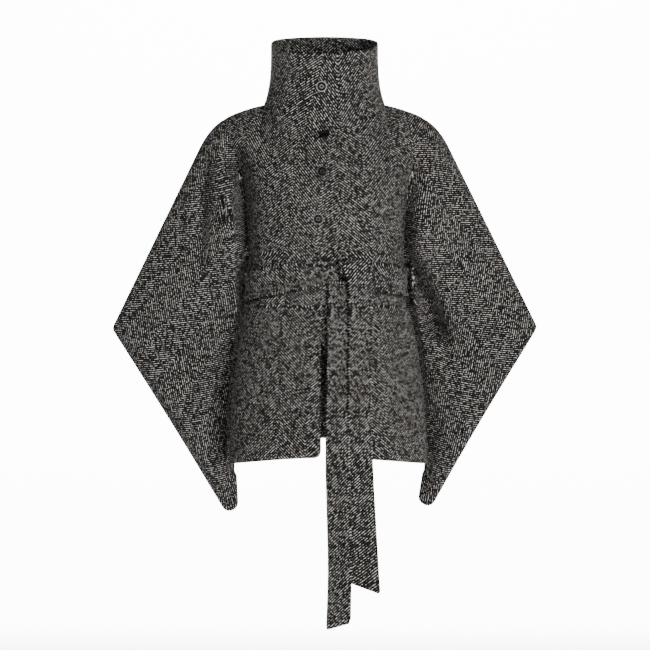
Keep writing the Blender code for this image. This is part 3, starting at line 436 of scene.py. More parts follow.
def bloused(grid):
    """Moves points outwards by a bulge that fades exponentially beside the belt, less a bell at its edge."""
    angle = belt_angle(grid[..., 0], grid[..., 1])
    level, width = belt_level(angle, TIE_ANGLE, 2 * np.pi + TIE_ANGLE)
    outwards = unit(grid * np.array((1.0, 1.0, 0.0)))
    push = np.zeros(grid.shape[:2])
    for way, bulge, groove in BLOUSE:
        beside = way * (grid[..., 2] - level) - width / 2
        fading = np.exp(-np.maximum(beside - BLOUSE_START, 0) / BLOUSE_FADE)
        push += bulge * ease(beside / BLOUSE_START) * fading
        ahead = ease(np.abs(grid[..., 1]) / GROOVE_FADE)
        push -= groove * ahead * bell(beside - GROOVE_PLACE, GROOVE_WIDTH)
    return grid + outwards * push[..., None]


print("belt", BELT_WIDTH, "m wide, middle at", BELT_FRONT_HEIGHT, "in front and", BELT_BACK_HEIGHT, "behind")

# %% [markdown]
# ## Body panels
# Each quarter of the body is one grid. From the hem to the chest its rows are parts of squarish rounds.
# Above, the cloth rolls over the shoulder: every column is a cubic that leaves the chest upwards and
# arrives level at the shoulder seam, or upright at the neck.

# %% Body panels
def row_levels(hem):
    """Row heights from the hem up to just below the armpit."""
    parts = ((hem, WAIST_LOW_HEIGHT, SKIRT_ROWS), (WAIST_LOW_HEIGHT, WAIST_HIGH_HEIGHT, WAIST_ROWS),
             (WAIST_HIGH_HEIGHT, ARMPIT_HEIGHT, CHEST_ROWS))
    return np.concatenate([np.linspace(low, high, rows + 1)[:-1] for low, high, rows in parts])


def body_row(side, face, start, edge, middle_height):
    """A squarish round from X = start to its edge point. Its height goes from middle to edge as cos^2."""
    edge_out, edge_deep, edge_height = edge
    edge_share = min(abs(edge_deep) / body_size(FACE_NAMES[face], edge_height), 0.999)
    half_width = edge_out / (1 - edge_share ** BODY_ROUNDNESS) ** (1 / BODY_ROUNDNESS)
    last = np.arctan2(edge_out / half_width, edge_share)
    angle = np.linspace(BEYOND_MIDDLE, 1.0, FINE) * last
    reach = squarish(angle, BODY_ROUNDNESS)
    height = edge_height + (middle_height - edge_height) * np.cos(angle * (np.pi / 2) / last) ** 2
    if edge_share == 0:
        half_width = body_size(SIDE_NAMES[side], height)
    out = half_width * reach * np.sin(angle)
    row = np.stack((out, face * body_size(FACE_NAMES[face], height) * reach * np.cos(angle), height), axis=1)
    at_start = np.array([np.interp(start, out, row[:, k]) for k in range(3)])
    return divide(np.vstack((at_start, row[out > start + 1e-6])), PANEL_COLUMNS)


def body_panel(side, face, start_edge):
    """One quarter of the body, with X counted outwards: rows up from the hem, columns out from the middle.

    Above the yoke each column is a cubic, with the chest's slope at its foot and the seam's at its top.
    """
    hem, neck, yoke = ((HEM_FRONT_HEIGHT, NECK_FRONT_HEIGHT, YOKE_FRONT_HEIGHT) if face == FRONT
                       else (HEM_BACK_HEIGHT, NECK_BACK_HEIGHT, YOKE_BACK_HEIGHT))
    side_heights = row_levels(HEM_SIDE_HEIGHT)
    side_edge = np.stack((body_size(SIDE_NAMES[side], side_heights), np.zeros(LOWER_ROWS), side_heights), 1)
    edge = np.vstack((side_edge, armhole(side, face)))
    middles = np.concatenate((row_levels(hem), np.linspace(ARMPIT_HEIGHT, neck, ARMHOLE_ROWS + 1)))
    plain = int(np.sum(middles <= yoke))
    starts = start_edge(middles)
    rounds = np.array([body_row(side, face, starts[row], edge[row], middles[row]) for row in range(plain)])
    share = np.linspace(0.0, 1.0, PANEL_COLUMNS + 1)
    over = ease((share - NECK_COLUMNS / PANEL_COLUMNS + ROLL_START) / ROLL_SPAN)[:, None]
    up = np.array((0.0, -face * NECK_WAY[0], NECK_WAY[1])) * NECK_LEAN
    level = np.array((0.0, -face * 1.0, 0.0)) * SHOULDER_ROLL
    arrive = up * (1 - over) + level * over
    rows_left = len(edge) - plain
    leave = (rounds[-1] - rounds[-2]) * rows_left
    part = (np.arange(1, rows_left + 1) / rows_left)[:, None, None]
    roll = cubic(part, rounds[-1], leave, top_line(face, start_edge(neck)), arrive)
    miss = edge[plain:] - roll[:, -1]
    roll = roll + miss[:, None] * (share ** 3)[None, :, None]
    return np.concatenate((rounds, roll))


def mirrored(grid, side):
    """Turns X counted outwards into the scene's X."""
    return grid * np.array((side, 1.0, 1.0))


def over_start(height):
    """The over front's edge, counted outwards on the wearer's right."""
    return -lap_edge("over", height)


def under_start(height):
    """The under front's edge, counted outwards on the wearer's left."""
    return lap_edge("under", height)


def middle_start(height):
    """The middle of the back."""
    return np.zeros_like(np.asarray(height, dtype=float))


print("body rows", LOWER_ROWS, "below the armpit and", ARMHOLE_ROWS, "above")

# %% [markdown]
# ## Fronts and back
# The over front's lower corner is rounded, as on the real one, by squeezing a small square of cloth until
# its far edges are an arc, so the grid stays a grid. The under front lies a little further back where the
# fronts lap. A copy of the panels from before the belt's groove is kept: cloth is cut before it is
# belted, so the flat cut and the weave are worked out on that copy.

# %% Fronts and back
CORNER_ROUND = 0.012


def rounded_hem_corner(grid):
    """Rounds the panel's first corner: points in a square there move in by how far they lie beyond an arc."""
    aside = np.clip(1 - np.abs(grid[..., 0] - grid[:, :1, 0]) / CORNER_ROUND, 0.0, 1.0)
    above = np.clip(1 - np.abs(grid[..., 2] - grid[:1, :, 2]) / CORNER_ROUND, 0.0, 1.0)
    far = np.maximum(aside, above) / np.maximum(np.hypot(aside, above), 1e-9)
    out_way = np.sign(grid[:, 1:2, 0] - grid[:, :1, 0])
    moved = grid.copy()
    moved[..., 0] += out_way * CORNER_ROUND * aside * (1 - far) * (above > 0)
    moved[..., 2] += CORNER_ROUND * above * (1 - far) * (aside > 0)
    return moved


grids = {"front_right": rounded_hem_corner(mirrored(body_panel(RIGHT, FRONT, over_start), RIGHT))}
under_front = body_panel(LEFT, FRONT, under_start)
tuck = 1 - ease((under_front[..., 0] - LAP_FADE[0]) / (LAP_FADE[1] - LAP_FADE[0]))
under_front[..., 1] += LAP_STEP * tuck
grids["front_left"] = under_front
back_right = mirrored(body_panel(RIGHT, BACK, middle_start), RIGHT)
back_left = body_panel(LEFT, BACK, middle_start)
grids["back"] = np.concatenate((back_right[:, :0:-1], back_left), axis=1)
smooth_grids = dict(grids)
for name in ("front_right", "front_left", "back"):
    grids[name] = bloused(grids[name])
print("front panel grid", grids["front_right"].shape[:2], "back panel grid", grids["back"].shape[:2])

# %% [markdown]
# ## Sleeves
# The sleeve is cut like a kite: a long straight overarm, a pointed cuff cut on the slant and a short
# underarm that starts at the armpit and falls behind the body. A grid between four known edges is a Coons
# patch: blend the two pairs of opposite edges and take away the corners counted twice. The head of the
# sleeve swells forward from the armhole, which makes the deep shadow beside the body.

# %% Measurements of the sleeves
SLEEVES = {
    RIGHT: {"tip": (0.4245, -0.4420), "point": (0.1720, -0.8664), "elbow": (0.2503, -0.088),
            "under": (0.1480, -0.400), "inner": (0.1800, -0.700), "tip_back": 0.010,
            "point_back": 0.066, "cuff_bow": 0.003},
    LEFT: {"tip": (0.4250, -0.4390), "point": (0.1758, -0.8770), "elbow": (0.2500, -0.088),
           "under": (0.1580, -0.400), "inner": (0.2080, -0.680), "tip_back": 0.010,
           "point_back": 0.062, "cuff_bow": 0.006},
}
SHOULDER_TURN = (0.230, -0.046)     # where the two lines of the shoulder's bend would meet
TIP_ROUND = 0.010
POINT_ROUND = 0.0166
CUFF_HALF_OPENING = 0.040
CUFF_ROUNDNESS = 2.2
UNDERARM_BEND = (0.008, 0.060)
UNDERARM_TUCK = 5.0         # how soon below the armpit the underarm falls behind the body
SLEEVE_SWELL = {FRONT: 0.044, BACK: 0.026}
SWELL_PLACE = 0.16          # share of the sleeve's length at which it swells most
SWELL_START = 1.7           # above 1 the cloth leaves the seam flat, which widens the crevice
SWELL_ROUND, FOLD_ROUND, ROLL_ROUND = 0.8, 0.3, 0.5     # how flat each runs across: 0 is level, 1 a sine
CUFF_ROLL = {RIGHT: 0.024, LEFT: 0.006}     # how far the pressed cuff turns in,
CUFF_ROLL_HEIGHT = 0.026                    # over this much cloth,
CUFF_ROLL_BEND = 1.5                        # and how sharply
SLEEVE_CLEARANCE = 0.0110   # between the sleeve and the body
SLEEVE_STANDS_OFF = 0.016   # more room in front, beside the waist
STANDS_OFF_REACH = 0.09     # height over which that room fades below the belt
STANDS_OFF_DEPTHS = (0.03, 0.06)    # it starts this far behind the side seam, full so much further on
CLEAR_SPAN = 0.035          # height below the armpit in which the room opens
SLEEVE_ROWS = 90
ROWS_CROWD = 1.2            # above 1 the rows are closer together at the head
FOLD_FADE = 0.3             # share of a fold in which it fades at each end
FOLD_COLUMNS = ("side", "face", "x0", "z0", "x1", "z1", "bow", "width", "depth")
SLEEVE_FOLDS = (            # valleys along a line, in outward X and height; a negative depth is a ridge
    (RIGHT, FRONT, 0.228, -0.055, 0.250, -0.360, 0.004, 0.013, 0.022),
    (LEFT, FRONT, 0.232, -0.070, 0.262, -0.300, 0.004, 0.014, 0.006),
    (LEFT, FRONT, 0.148, -0.270, 0.250, -0.503, 0.003, 0.017, 0.060),
    (RIGHT, FRONT, 0.190, -0.400, 0.215, -0.640, 0.000, 0.020, 0.008),
    (RIGHT, BACK, 0.215, -0.120, 0.270, -0.430, 0.006, 0.020, 0.012),
    (LEFT, BACK, 0.215, -0.120, 0.262, -0.470, 0.006, 0.020, 0.012),
    (LEFT, BACK, 0.300, -0.280, 0.290, -0.520, 0.000, 0.022, 0.008),
)


HALF_BEND = 20              # steps in half of a rounded corner


def rounded_corner(before, corner, after, radius):
    """The way round a rounded corner, cut at its middle: an arc between the two tangent points."""
    before, corner, after = (np.array(point, dtype=float) for point in (before, corner, after))
    back, on = unit(before - corner), unit(after - corner)
    half = np.arccos(np.clip(back @ on, -1, 1)) / 2
    inward = unit(back + on)
    centre = corner + inward * radius / np.sin(half)
    sweep_angle = np.linspace(-(np.pi / 2 - half), np.pi / 2 - half, 2 * HALF_BEND + 1)[:, None]
    bend = centre - radius * (np.cos(sweep_angle) * inward - np.sin(sweep_angle) * unit(on - back))
    return np.vstack((before, bend[:HALF_BEND + 1])), np.vstack((bend[HALF_BEND:], after))


def bent(share, first, corner, last):
    """A curve from first to last that is drawn towards a corner: (1-s)^2 a + 2 s (1-s) b + s^2 c."""
    return (1 - share) ** 2 * first + 2 * share * (1 - share) * corner + share ** 2 * last


def sleeve_outline(side):
    """Overarm, cuff and underarm lines of a sleeve, in outward X and height."""
    shape = SLEEVES[side]
    top, turn, elbow = np.array(SHOULDER_SEAM[-1]), np.array(SHOULDER_TURN), np.array(shape["elbow"])
    share = np.linspace(0.0, 1.0, 60)[:, None]
    shoulder = bent(share, top, turn, elbow)
    to_tip, from_tip = rounded_corner(elbow, shape["tip"], shape["point"], TIP_ROUND)
    to_point, from_point = rounded_corner(shape["tip"], shape["point"], shape["inner"], POINT_ROUND)
    armpit = np.array((body_size(SIDE_NAMES[side], ARMPIT_HEIGHT), ARMPIT_HEIGHT))
    under = np.array(shape["under"])
    bend = np.array((armpit[0] - UNDERARM_BEND[0], under[1] + UNDERARM_BEND[1]))
    hang = bent(share, armpit, bend, under)
    return (np.vstack((shoulder[:-1], to_tip)), np.vstack((from_tip[:-1], to_point[1:])),
            np.vstack((hang, from_point[::-1])))


def along(line, shares):
    """Points of a flat line at shares of its length."""
    length = run_length(line)
    return np.stack([np.interp(shares, length / length[-1], line[:, k]) for k in range(2)], axis=-1)


def fold_depth(folds, side, face, out, height):
    """Depth of the folds of one sleeve face: each is a bell across its line that fades at both ends."""
    depth = np.zeros_like(out)
    for fold in folds:
        row = dict(zip(FOLD_COLUMNS, fold))
        if row["side"] == side and row["face"] == face:
            run = np.array((row["x1"] - row["x0"], row["z1"] - row["z0"]))
            length = np.linalg.norm(run)
            away = np.stack((out - row["x0"], height - row["z0"]), axis=-1)
            share = away @ run / length ** 2
            across = away @ np.array((-run[1], run[0])) / length - 4 * row["bow"] * share * (1 - share)
            fade = ease(share / FOLD_FADE) * ease((1 - share) / FOLD_FADE)
            depth += row["depth"] * fade * bell(across, row["width"])
    return depth


def clear_of_body(side, grid):
    """Moves the sleeve's points out of the body and its belt, along the body's rounds."""
    out, deep, height = grid[..., 0], grid[..., 1], grid[..., 2]
    ahead = (ease((STANDS_OFF_DEPTHS[0] - deep) / STANDS_OFF_DEPTHS[1])
             * ease((WAIST_LOW_HEIGHT - STANDS_OFF_REACH - height) / -STANDS_OFF_REACH))
    grown = (SLEEVE_CLEARANCE + SLEEVE_STANDS_OFF * ahead) * ease((ARMPIT_HEIGHT - height) / CLEAR_SPAN)
    half_width = body_size(SIDE_NAMES[side], height) + grown
    depth = np.where(deep < 0, body_size("front", height), body_size("back", height)) + grown
    reach = (np.abs(out / half_width) ** BODY_ROUNDNESS
             + np.abs(deep / depth) ** BODY_ROUNDNESS) ** (1 / BODY_ROUNDNESS)
    beside = (height < ARMPIT_HEIGHT) & (height > HEM_SIDE_HEIGHT - 0.03)
    push = np.where(beside & (reach < 1), 1 / np.maximum(reach, 1e-3), 1.0)
    return grid * np.stack((push, push, np.ones_like(push)), axis=-1)


def sleeve_panel(side, face):
    """A sleeve's front or back: a Coons patch, plus a swell at the head, less the folds."""
    shape = SLEEVES[side]
    hole = armhole(side, face)[::-1]
    across = (hole[0, 2] - hole[:, 2]) / (hole[0, 2] - hole[-1, 2])
    overarm, cuff, underarm = sleeve_outline(side)
    down = (np.arange(SLEEVE_ROWS + 1) / SLEEVE_ROWS) ** ROWS_CROWD
    over_line, under_line, cuff_line = along(overarm, down), along(underarm, down), along(cuff, across)
    cuff_line[:, 0] -= 4 * shape["cuff_bow"] * across * (1 - across)
    under_back = shape["point_back"] * (1 - (1 - down) ** UNDERARM_TUCK)
    cuff_back = shape["tip_back"] + (shape["point_back"] - shape["tip_back"]) * across
    cuff_round = (1 - np.abs(2 * across - 1) ** CUFF_ROUNDNESS) ** (1 / CUFF_ROUNDNESS)
    last = np.stack((cuff_line[:, 0], cuff_back + face * CUFF_HALF_OPENING * cuff_round, cuff_line[:, 1]), 1)
    over = np.stack((over_line[:, 0], shape["tip_back"] * down, over_line[:, 1]), axis=1)
    under = np.stack((under_line[:, 0], under_back, under_line[:, 1]), axis=1)
    t, s = down[:, None, None], across[None, :, None]
    grid = (1 - t) * hole[None] + t * last[None]
    grid = grid + (1 - s) * (over[:, None] - (1 - t) * hole[0] - t * last[0])
    grid = grid + s * (under[:, None] - (1 - t) * hole[-1] - t * last[-1])
    rise = ((down / SWELL_PLACE) * np.exp(1 - down / SWELL_PLACE)) ** SWELL_START
    middle = np.sin(np.pi * across)[None]
    swell = SLEEVE_SWELL[face] * rise[:, None] * middle ** SWELL_ROUND
    inward = fold_depth(SLEEVE_FOLDS, side, face, grid[..., 0], grid[..., 2]) * middle ** FOLD_ROUND
    from_cuff = np.linalg.norm(grid - grid[-1:], axis=-1)
    rolled = (1 - ease(from_cuff / CUFF_ROLL_HEIGHT)) ** CUFF_ROLL_BEND
    turned = CUFF_ROLL[side] * rolled * middle ** ROLL_ROUND
    grid[..., 1] += face * (swell - inward - turned)
    return clear_of_body(side, grid)


print("sleeves from", SLEEVES[RIGHT]["tip"], "to", SLEEVES[LEFT]["tip"])

# %% [markdown]
# ## Creases and deep folds
# The black bands beside the body are folds so deep that no light gets in. They run along the armholes, so
# a bell is pressed back into the front and into the sleeve alike, at the same distance from the seam, and
# the two still meet. Two small breaks at the shoulders are made the same way. A painted shadow would be
# wrong from every other side.

# %% Creases and deep folds
SHOULDER_CREASES = (        # breaks in the cloth of the front: x0, z0, x1, z1, width, depth
    (-0.235, -0.074, -0.112, -0.118, 0.013, 0.0070),
    (0.150, -0.112, 0.262, -0.090, 0.016, 0.0040),
)
CREASE_FADE = 0.35          # share of a crease in which it fades at each end
FADE_DEPTHS = {"crease": 0.02, "valley": 0.03}  # how far in front of the side seams each has its full depth
VALLEY_DEPTHS = {RIGHT: 0.034, LEFT: 0.026}
VALLEY_WIDTHS = {RIGHT: 0.017, LEFT: 0.014}
# Heights at which a valley starts, is full, begins to fade and ends.
VALLEY_FADES = {RIGHT: (-0.065, -0.135, -0.300, -0.350), LEFT: (-0.185, -0.275, -0.310, -0.360)}


def creased(grid):
    """Presses the creases and valleys into a front grid: a bell across each line, faded at its ends."""
    pressed = grid.copy()
    for x0, z0, x1, z1, width, depth in SHOULDER_CREASES:
        run = np.array((x1 - x0, z1 - z0))
        away = grid[..., (0, 2)] - np.array((x0, z0))
        share = away @ run / (run @ run)
        across = away @ np.array((-run[1], run[0])) / np.linalg.norm(run)
        fade = ease(share / CREASE_FADE) * ease((1 - share) / CREASE_FADE)
        pressed[..., 1] += depth * bell(across, width) * fade * ease(-grid[..., 1] / FADE_DEPTHS["crease"])
    side = RIGHT if grid[..., 0].mean() < 0 else LEFT
    seam = armhole(side, FRONT)
    beside = side * grid[..., 0] - np.interp(grid[..., 2], seam[:, 2], seam[:, 0])
    top, full, low, bottom = VALLEY_FADES[side]
    fade = ease((top - grid[..., 2]) / (top - full)) * ease((grid[..., 2] - bottom) / (low - bottom))
    depth = VALLEY_DEPTHS[side] * bell(beside, VALLEY_WIDTHS[side]) * fade
    pressed[..., 1] += depth * ease(-grid[..., 1] / FADE_DEPTHS["valley"])
    return pressed


SLEEVE_PANELS = {"sleeve_right_front": (RIGHT, FRONT), "sleeve_right_back": (RIGHT, BACK),
                 "sleeve_left_front": (LEFT, FRONT), "sleeve_left_back": (LEFT, BACK)}
for name, (side, face) in SLEEVE_PANELS.items():
    grids[name] = mirrored(sleeve_panel(side, face), side)
for name in ("front_right", "front_left", "sleeve_right_front", "sleeve_left_front"):
    grids[name] = creased(grids[name])
smooth_grids = {name: creased(smooth_grids[name]) if name.startswith("front") else
                smooth_grids.get(name, grids[name]) for name in grids}
print("sleeve grid", grids["sleeve_left_front"].shape[:2])

# %% [markdown]
# ## Collar
# The collar is a high funnel of doubled cloth. Its lower edge has the neckline's own points, so there is
# no gap, and its rim is lower in front. It goes once round the neck and a little further, so that its
# ends lap as the fronts do.

# %% Collar
COLLAR_RIM_HALF_WIDTH = 0.1065
COLLAR_RIM_DEPTHS = {FRONT: 0.106, BACK: 0.088}
COLLAR_RIM_HEIGHTS = {"front": 0.094, "side": 0.121, "back": 0.140}
COLLAR_FLARE = 3.2          # how low down the funnel spreads
COLLAR_LAP_STEP = 0.0062    # the under end lies this much further in,
COLLAR_LAP_SPAN = (3.2, 2.0)    # from so many laps before the middle of the front, over so many laps
COLLAR_ROWS = 36


def rim_height(angle):
    """Height of the rim: a cosine from front to back, plus a bow at the sides."""
    heights = COLLAR_RIM_HEIGHTS
    lean = (heights["back"] - heights["front"]) / 2
    bow = heights["side"] - (heights["back"] + heights["front"]) / 2
    return (heights["back"] + heights["front"]) / 2 - lean * np.cos(angle) + bow * np.sin(angle) ** 2


def collar_grid():
    """The funnel: its width goes from rim to neckline as (1 - share)^flare, its depth and height in line."""
    over_end = neck_angles(FRONT, over_start(NECK_FRONT_HEIGHT))
    under_end = neck_angles(FRONT, under_start(NECK_FRONT_HEIGHT))
    behind = neck_angles(BACK, 0.0)
    angle = np.concatenate((over_end, np.pi - behind[-2::-1], np.pi + behind[1:],
                            2 * np.pi - under_end[-2::-1]))
    lap = -under_end[0]
    reach = squarish(angle, COLLAR_ROUNDNESS)
    ahead = np.cos(angle) > 0
    neck_deep = np.where(ahead, NECK_DEPTHS[FRONT], NECK_DEPTHS[BACK])
    rim_deep = np.where(ahead, COLLAR_RIM_DEPTHS[FRONT], COLLAR_RIM_DEPTHS[BACK])
    low = np.where(ahead, neck_height(angle, FRONT), neck_height(angle, BACK))
    start, span = COLLAR_LAP_SPAN
    step = COLLAR_LAP_STEP * ease((angle - 2 * np.pi + start * lap) / (span * lap))
    share = np.linspace(0.0, 1.0, COLLAR_ROWS + 1)[:, None]
    width = COLLAR_RIM_HALF_WIDTH + (NECK_HALF_WIDTH - COLLAR_RIM_HALF_WIDTH) * (1 - share) ** COLLAR_FLARE
    deep = rim_deep + (neck_deep - rim_deep) * (1 - share)
    return np.stack((-(width - step) * reach * np.sin(angle), -(deep - step) * reach * np.cos(angle),
                     low + (rim_height(angle) - low) * share), axis=-1)


grids["collar"] = collar_grid()
print("collar grid", grids["collar"].shape[:2])

# %% [markdown]
# ## From grid to cloth
# A sheet in the render needs a front, a back and an edge. The wall's inner face is the outer one moved
# along its normals by the cloth's thickness. Where the cloth ends freely, at a hem or a cuff, it is
# turned and pressed, so its edge is round. Where it is sewn to the next piece the edge stays flat and 0.3
# mm from its neighbour.
#
# The weave has to follow each piece as it was cut, so every grid is also laid flat: its lengths along
# rows, columns and both diagonals act as springs, and the flat copy relaxes until they have their real
# lengths. The flat copy is at once the texture's UV map, in metres, and the size of the cut. The springs
# pull a near guess into place, but they can't unfold a bad one, so a body panel starts as its rows laid
# straight, and a sleeve as its columns laid straight from the cuff towards the armhole.

# %% Flat cuts


def springs(shape):
    """Pairs of neighbouring cells of a grid: along rows, columns and both diagonals."""
    index = np.arange(shape[0] * shape[1]).reshape(shape)
    pairs = ((index[1:], index[:-1]), (index[:, 1:], index[:, :-1]),
             (index[1:, 1:], index[:-1, :-1]), (index[1:, :-1], index[:-1, 1:]))
    return [(a.ravel(), b.ravel()) for a, b in pairs]


SPRING_ROUNDS = 1500
SPRING_STEP = 4             # the springs join every fourth point, and the points between are filled in
SPRING_SHARE = 0.22         # of its error that a spring corrects in a round: more would make it shake


def laid_flat(grid, guess):
    """The flat copy of a grid. Each round moves both ends of every spring by a share of its error."""
    rows = np.unique(np.append(np.arange(0, grid.shape[0], SPRING_STEP), grid.shape[0] - 1))
    columns = np.unique(np.append(np.arange(0, grid.shape[1], SPRING_STEP), grid.shape[1] - 1))
    solid = grid[np.ix_(rows, columns)].reshape(-1, 3)
    flat = guess[np.ix_(rows, columns)].reshape(-1, 2).copy()
    pairs = springs((len(rows), len(columns)))
    lengths = [np.linalg.norm(solid[a] - solid[b], axis=1) for a, b in pairs]
    for _ in range(SPRING_ROUNDS):
        move = np.zeros_like(flat)
        for (a, b), length in zip(pairs, lengths):
            gap = flat[a] - flat[b]
            now = np.linalg.norm(gap, axis=1)
            pull = gap * (0.5 * (length - now) / now)[:, None]
            np.add.at(move, a, pull)
            np.add.at(move, b, -pull)
        flat += SPRING_SHARE * move
    flat = flat.reshape(len(rows), len(columns), 2)
    all_rows, all_columns = np.arange(grid.shape[0]), np.arange(grid.shape[1])
    tall = np.stack([[np.interp(all_rows, rows, flat[:, c, k]) for c in range(len(columns))]
                     for k in range(2)], axis=-1).transpose(1, 0, 2)
    return np.stack([[np.interp(all_columns, columns, tall[r, :, k]) for r in all_rows]
                     for k in range(2)], axis=-1)


def arc_guess(grid, middle_column, lift):
    """A first flat copy: across, the length along each row from a column, and up, along that column."""
    across = np.linalg.norm(np.diff(grid, axis=1), axis=-1)
    across = np.concatenate((np.zeros((len(grid), 1)), np.cumsum(across, axis=1)), axis=1)
    across = across - across[:, middle_column:middle_column + 1]
    up = run_length(grid[:, middle_column]) + lift
    return np.stack((across, np.broadcast_to(up[:, None], across.shape)), axis=-1)


def straight_guess(grid):
    """A first flat copy of a sleeve: each column laid straight, from its cuff end to its armhole end."""
    steps = np.linalg.norm(np.diff(grid[::-1], axis=0), axis=-1)
    left = np.concatenate((np.zeros((1, grid.shape[1])), np.cumsum(steps, axis=0)))[::-1]
    cuff, hole = grid[-1][:, (0, 2)], grid[0][:, (0, 2)]
    return cuff + left[..., None] * unit(hole - cuff)


print("each flat copy relaxes for", SPRING_ROUNDS, "rounds")

# %% Normals and walls
TWEED = 0.003
DOUBLED = 0.005
SEAM = 0.0003
LIP_STEPS = 4               # faces round a pressed edge
SHARP_ANGLE = np.radians(50)


def outward(grid, hint):
    """Unit normals: the cross product of the grid's two directions, turned to agree with the hint."""
    normal = unit(np.cross(np.gradient(grid, axis=1), np.gradient(grid, axis=0)))
    return normal if (normal * hint).sum() > 0 else -normal


def new_piece(name, points, faces, uv, material):
    """A finished piece of the jacket. uv holds one place in the cut for each point, or is None."""
    mesh = bpy.data.meshes.new(name)
    mesh.from_pydata(points, [], faces)
    if uv is not None:
        corners = np.empty(len(mesh.loops), dtype=np.int32)
        mesh.loops.foreach_get("vertex_index", corners)
        layer = mesh.uv_layers.new(name="cut")
        layer.data.foreach_set("uv", uv[corners].astype(np.float32).ravel())
    mesh.materials.append(material)
    mesh.shade_smooth()
    mesh.set_sharp_from_angle(angle=SHARP_ANGLE)
    piece = bpy.data.objects.new(name, mesh)
    bpy.context.scene.collection.objects.link(piece)
    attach(piece, "root")
    return piece


def rim_order(rows, columns):
    """Indices of the grid's border, once round."""
    index = np.arange(rows * columns).reshape(rows, columns)
    return np.concatenate((index[0], index[1:, -1], index[-1, -2::-1], index[-2:0:-1, 0]))


def cloth(name, grid, normal, flat, thickness, free, material):
    """A closed wall: outer grid, inner grid, and a rim that bulges as a half round where free is 1."""
    rows, columns = grid.shape[:2]
    thickness = np.broadcast_to(thickness, (rows, columns))[..., None]
    inner = grid - normal * thickness
    rim = rim_order(rows, columns)
    outer_rim, inner_rim = grid.reshape(-1, 3)[rim], inner.reshape(-1, 3)[rim]
    ahead, behind = np.roll(outer_rim, -1, axis=0), np.roll(outer_rim, 1, axis=0)
    outwards = unit(np.cross(normal.reshape(-1, 3)[rim], ahead - behind))
    centre = grid.reshape(-1, 3).mean(axis=0)
    if ((outer_rim - centre) * outwards).sum() < 0:
        outwards = -outwards
    turn = np.linspace(0.0, np.pi, LIP_STEPS + 1)[1:-1, None, None]
    between = (outer_rim + (inner_rim - outer_rim) * (1 - np.cos(turn)) / 2
               + outwards * free[rim][:, None] * np.sin(turn) * thickness.reshape(-1, 1)[rim] / 2)
    points = np.concatenate((grid.reshape(-1, 3), inner.reshape(-1, 3), between.reshape(-1, 3)))
    count = rows * columns
    index = np.arange(count).reshape(rows, columns)
    quads = np.stack((index[:-1, :-1], index[:-1, 1:], index[1:, 1:], index[1:, :-1]), axis=-1).reshape(-1, 4)
    lip = 2 * count + np.arange((LIP_STEPS - 1) * len(rim)).reshape(LIP_STEPS - 1, -1)
    loops = np.concatenate((rim[None], lip, rim[None] + count))
    following = np.roll(loops, -1, axis=1)
    band = np.stack((loops[:-1], loops[1:], following[1:], following[:-1]), axis=-1).reshape(-1, 4)
    faces_out = np.cross(grid[0, 1] - grid[0, 0], grid[1, 0] - grid[0, 0]) @ normal[0, 0] > 0
    outer, inside = (quads, quads[:, ::-1] + count) if faces_out else (quads[:, ::-1], quads + count)
    band = band if faces_out else band[:, ::-1]
    faces = np.concatenate((outer, inside, band))
    cut = flat.reshape(-1, 2)
    uv = np.concatenate((cut, cut, np.tile(cut[rim], (LIP_STEPS - 1, 1))))
    return new_piece(name, points, faces.tolist(), uv, material)


print("walls", TWEED, "m thick, and", DOUBLED, "where the cloth is doubled")

# %% [markdown]
# ## The tweed
# A coating tweed: thick woollen yarns, black against undyed cream, in a herringbone, a twill whose
# diagonal turns round every few centimetres. Woollen yarn is carded, not combed, so it is hairy and
# uneven, and the weave is milled until the hairs felt together. To the eye that is broken pale dashes in
# dark rows, with no shine at all. The pattern could be a picture, but a picture repeats and blurs. Here
# it is worked out from the cut's own metres: a zigzag bends the rows, a wave makes them, and noise breaks
# them into slubs.

# %% Tweed material
STRIPE = 0.058              # metres from one turn of the herringbone to the next
RIB = 0.0058                # from one row to the next, measured up the cloth
TWILL_RISE = 0.95           # how steeply the rows climb: 1 is 45 degrees
SLUB = 0.0046               # usual length of a pale dash
RIB_SHARPNESS = 1.8         # above 1 the pale rows are narrower than the dark ones
WOBBLE_SCALE, WOBBLE = 32.0, 0.0018     # the rows waver this far, about 30 times a metre
FIBRE_SCALE = 900.0         # hairs of wool to the metre
BUMP_HEIGHT = 0.0010
DARK_YARN, MID_YARN, PALE_YARN = "060607", "3b3937", "f2ede6"


def maths(tree, operation, *values):
    """A Math node on numbers and outputs, in order: its output."""
    made = node(tree, "ShaderNodeMath", {"operation": operation})
    for place, value in enumerate(values):
        if isinstance(value, (int, float)):
            made.inputs[place].default_value = value
        else:
            tree.links.new(value, made.inputs[place])
    return made.outputs[0]


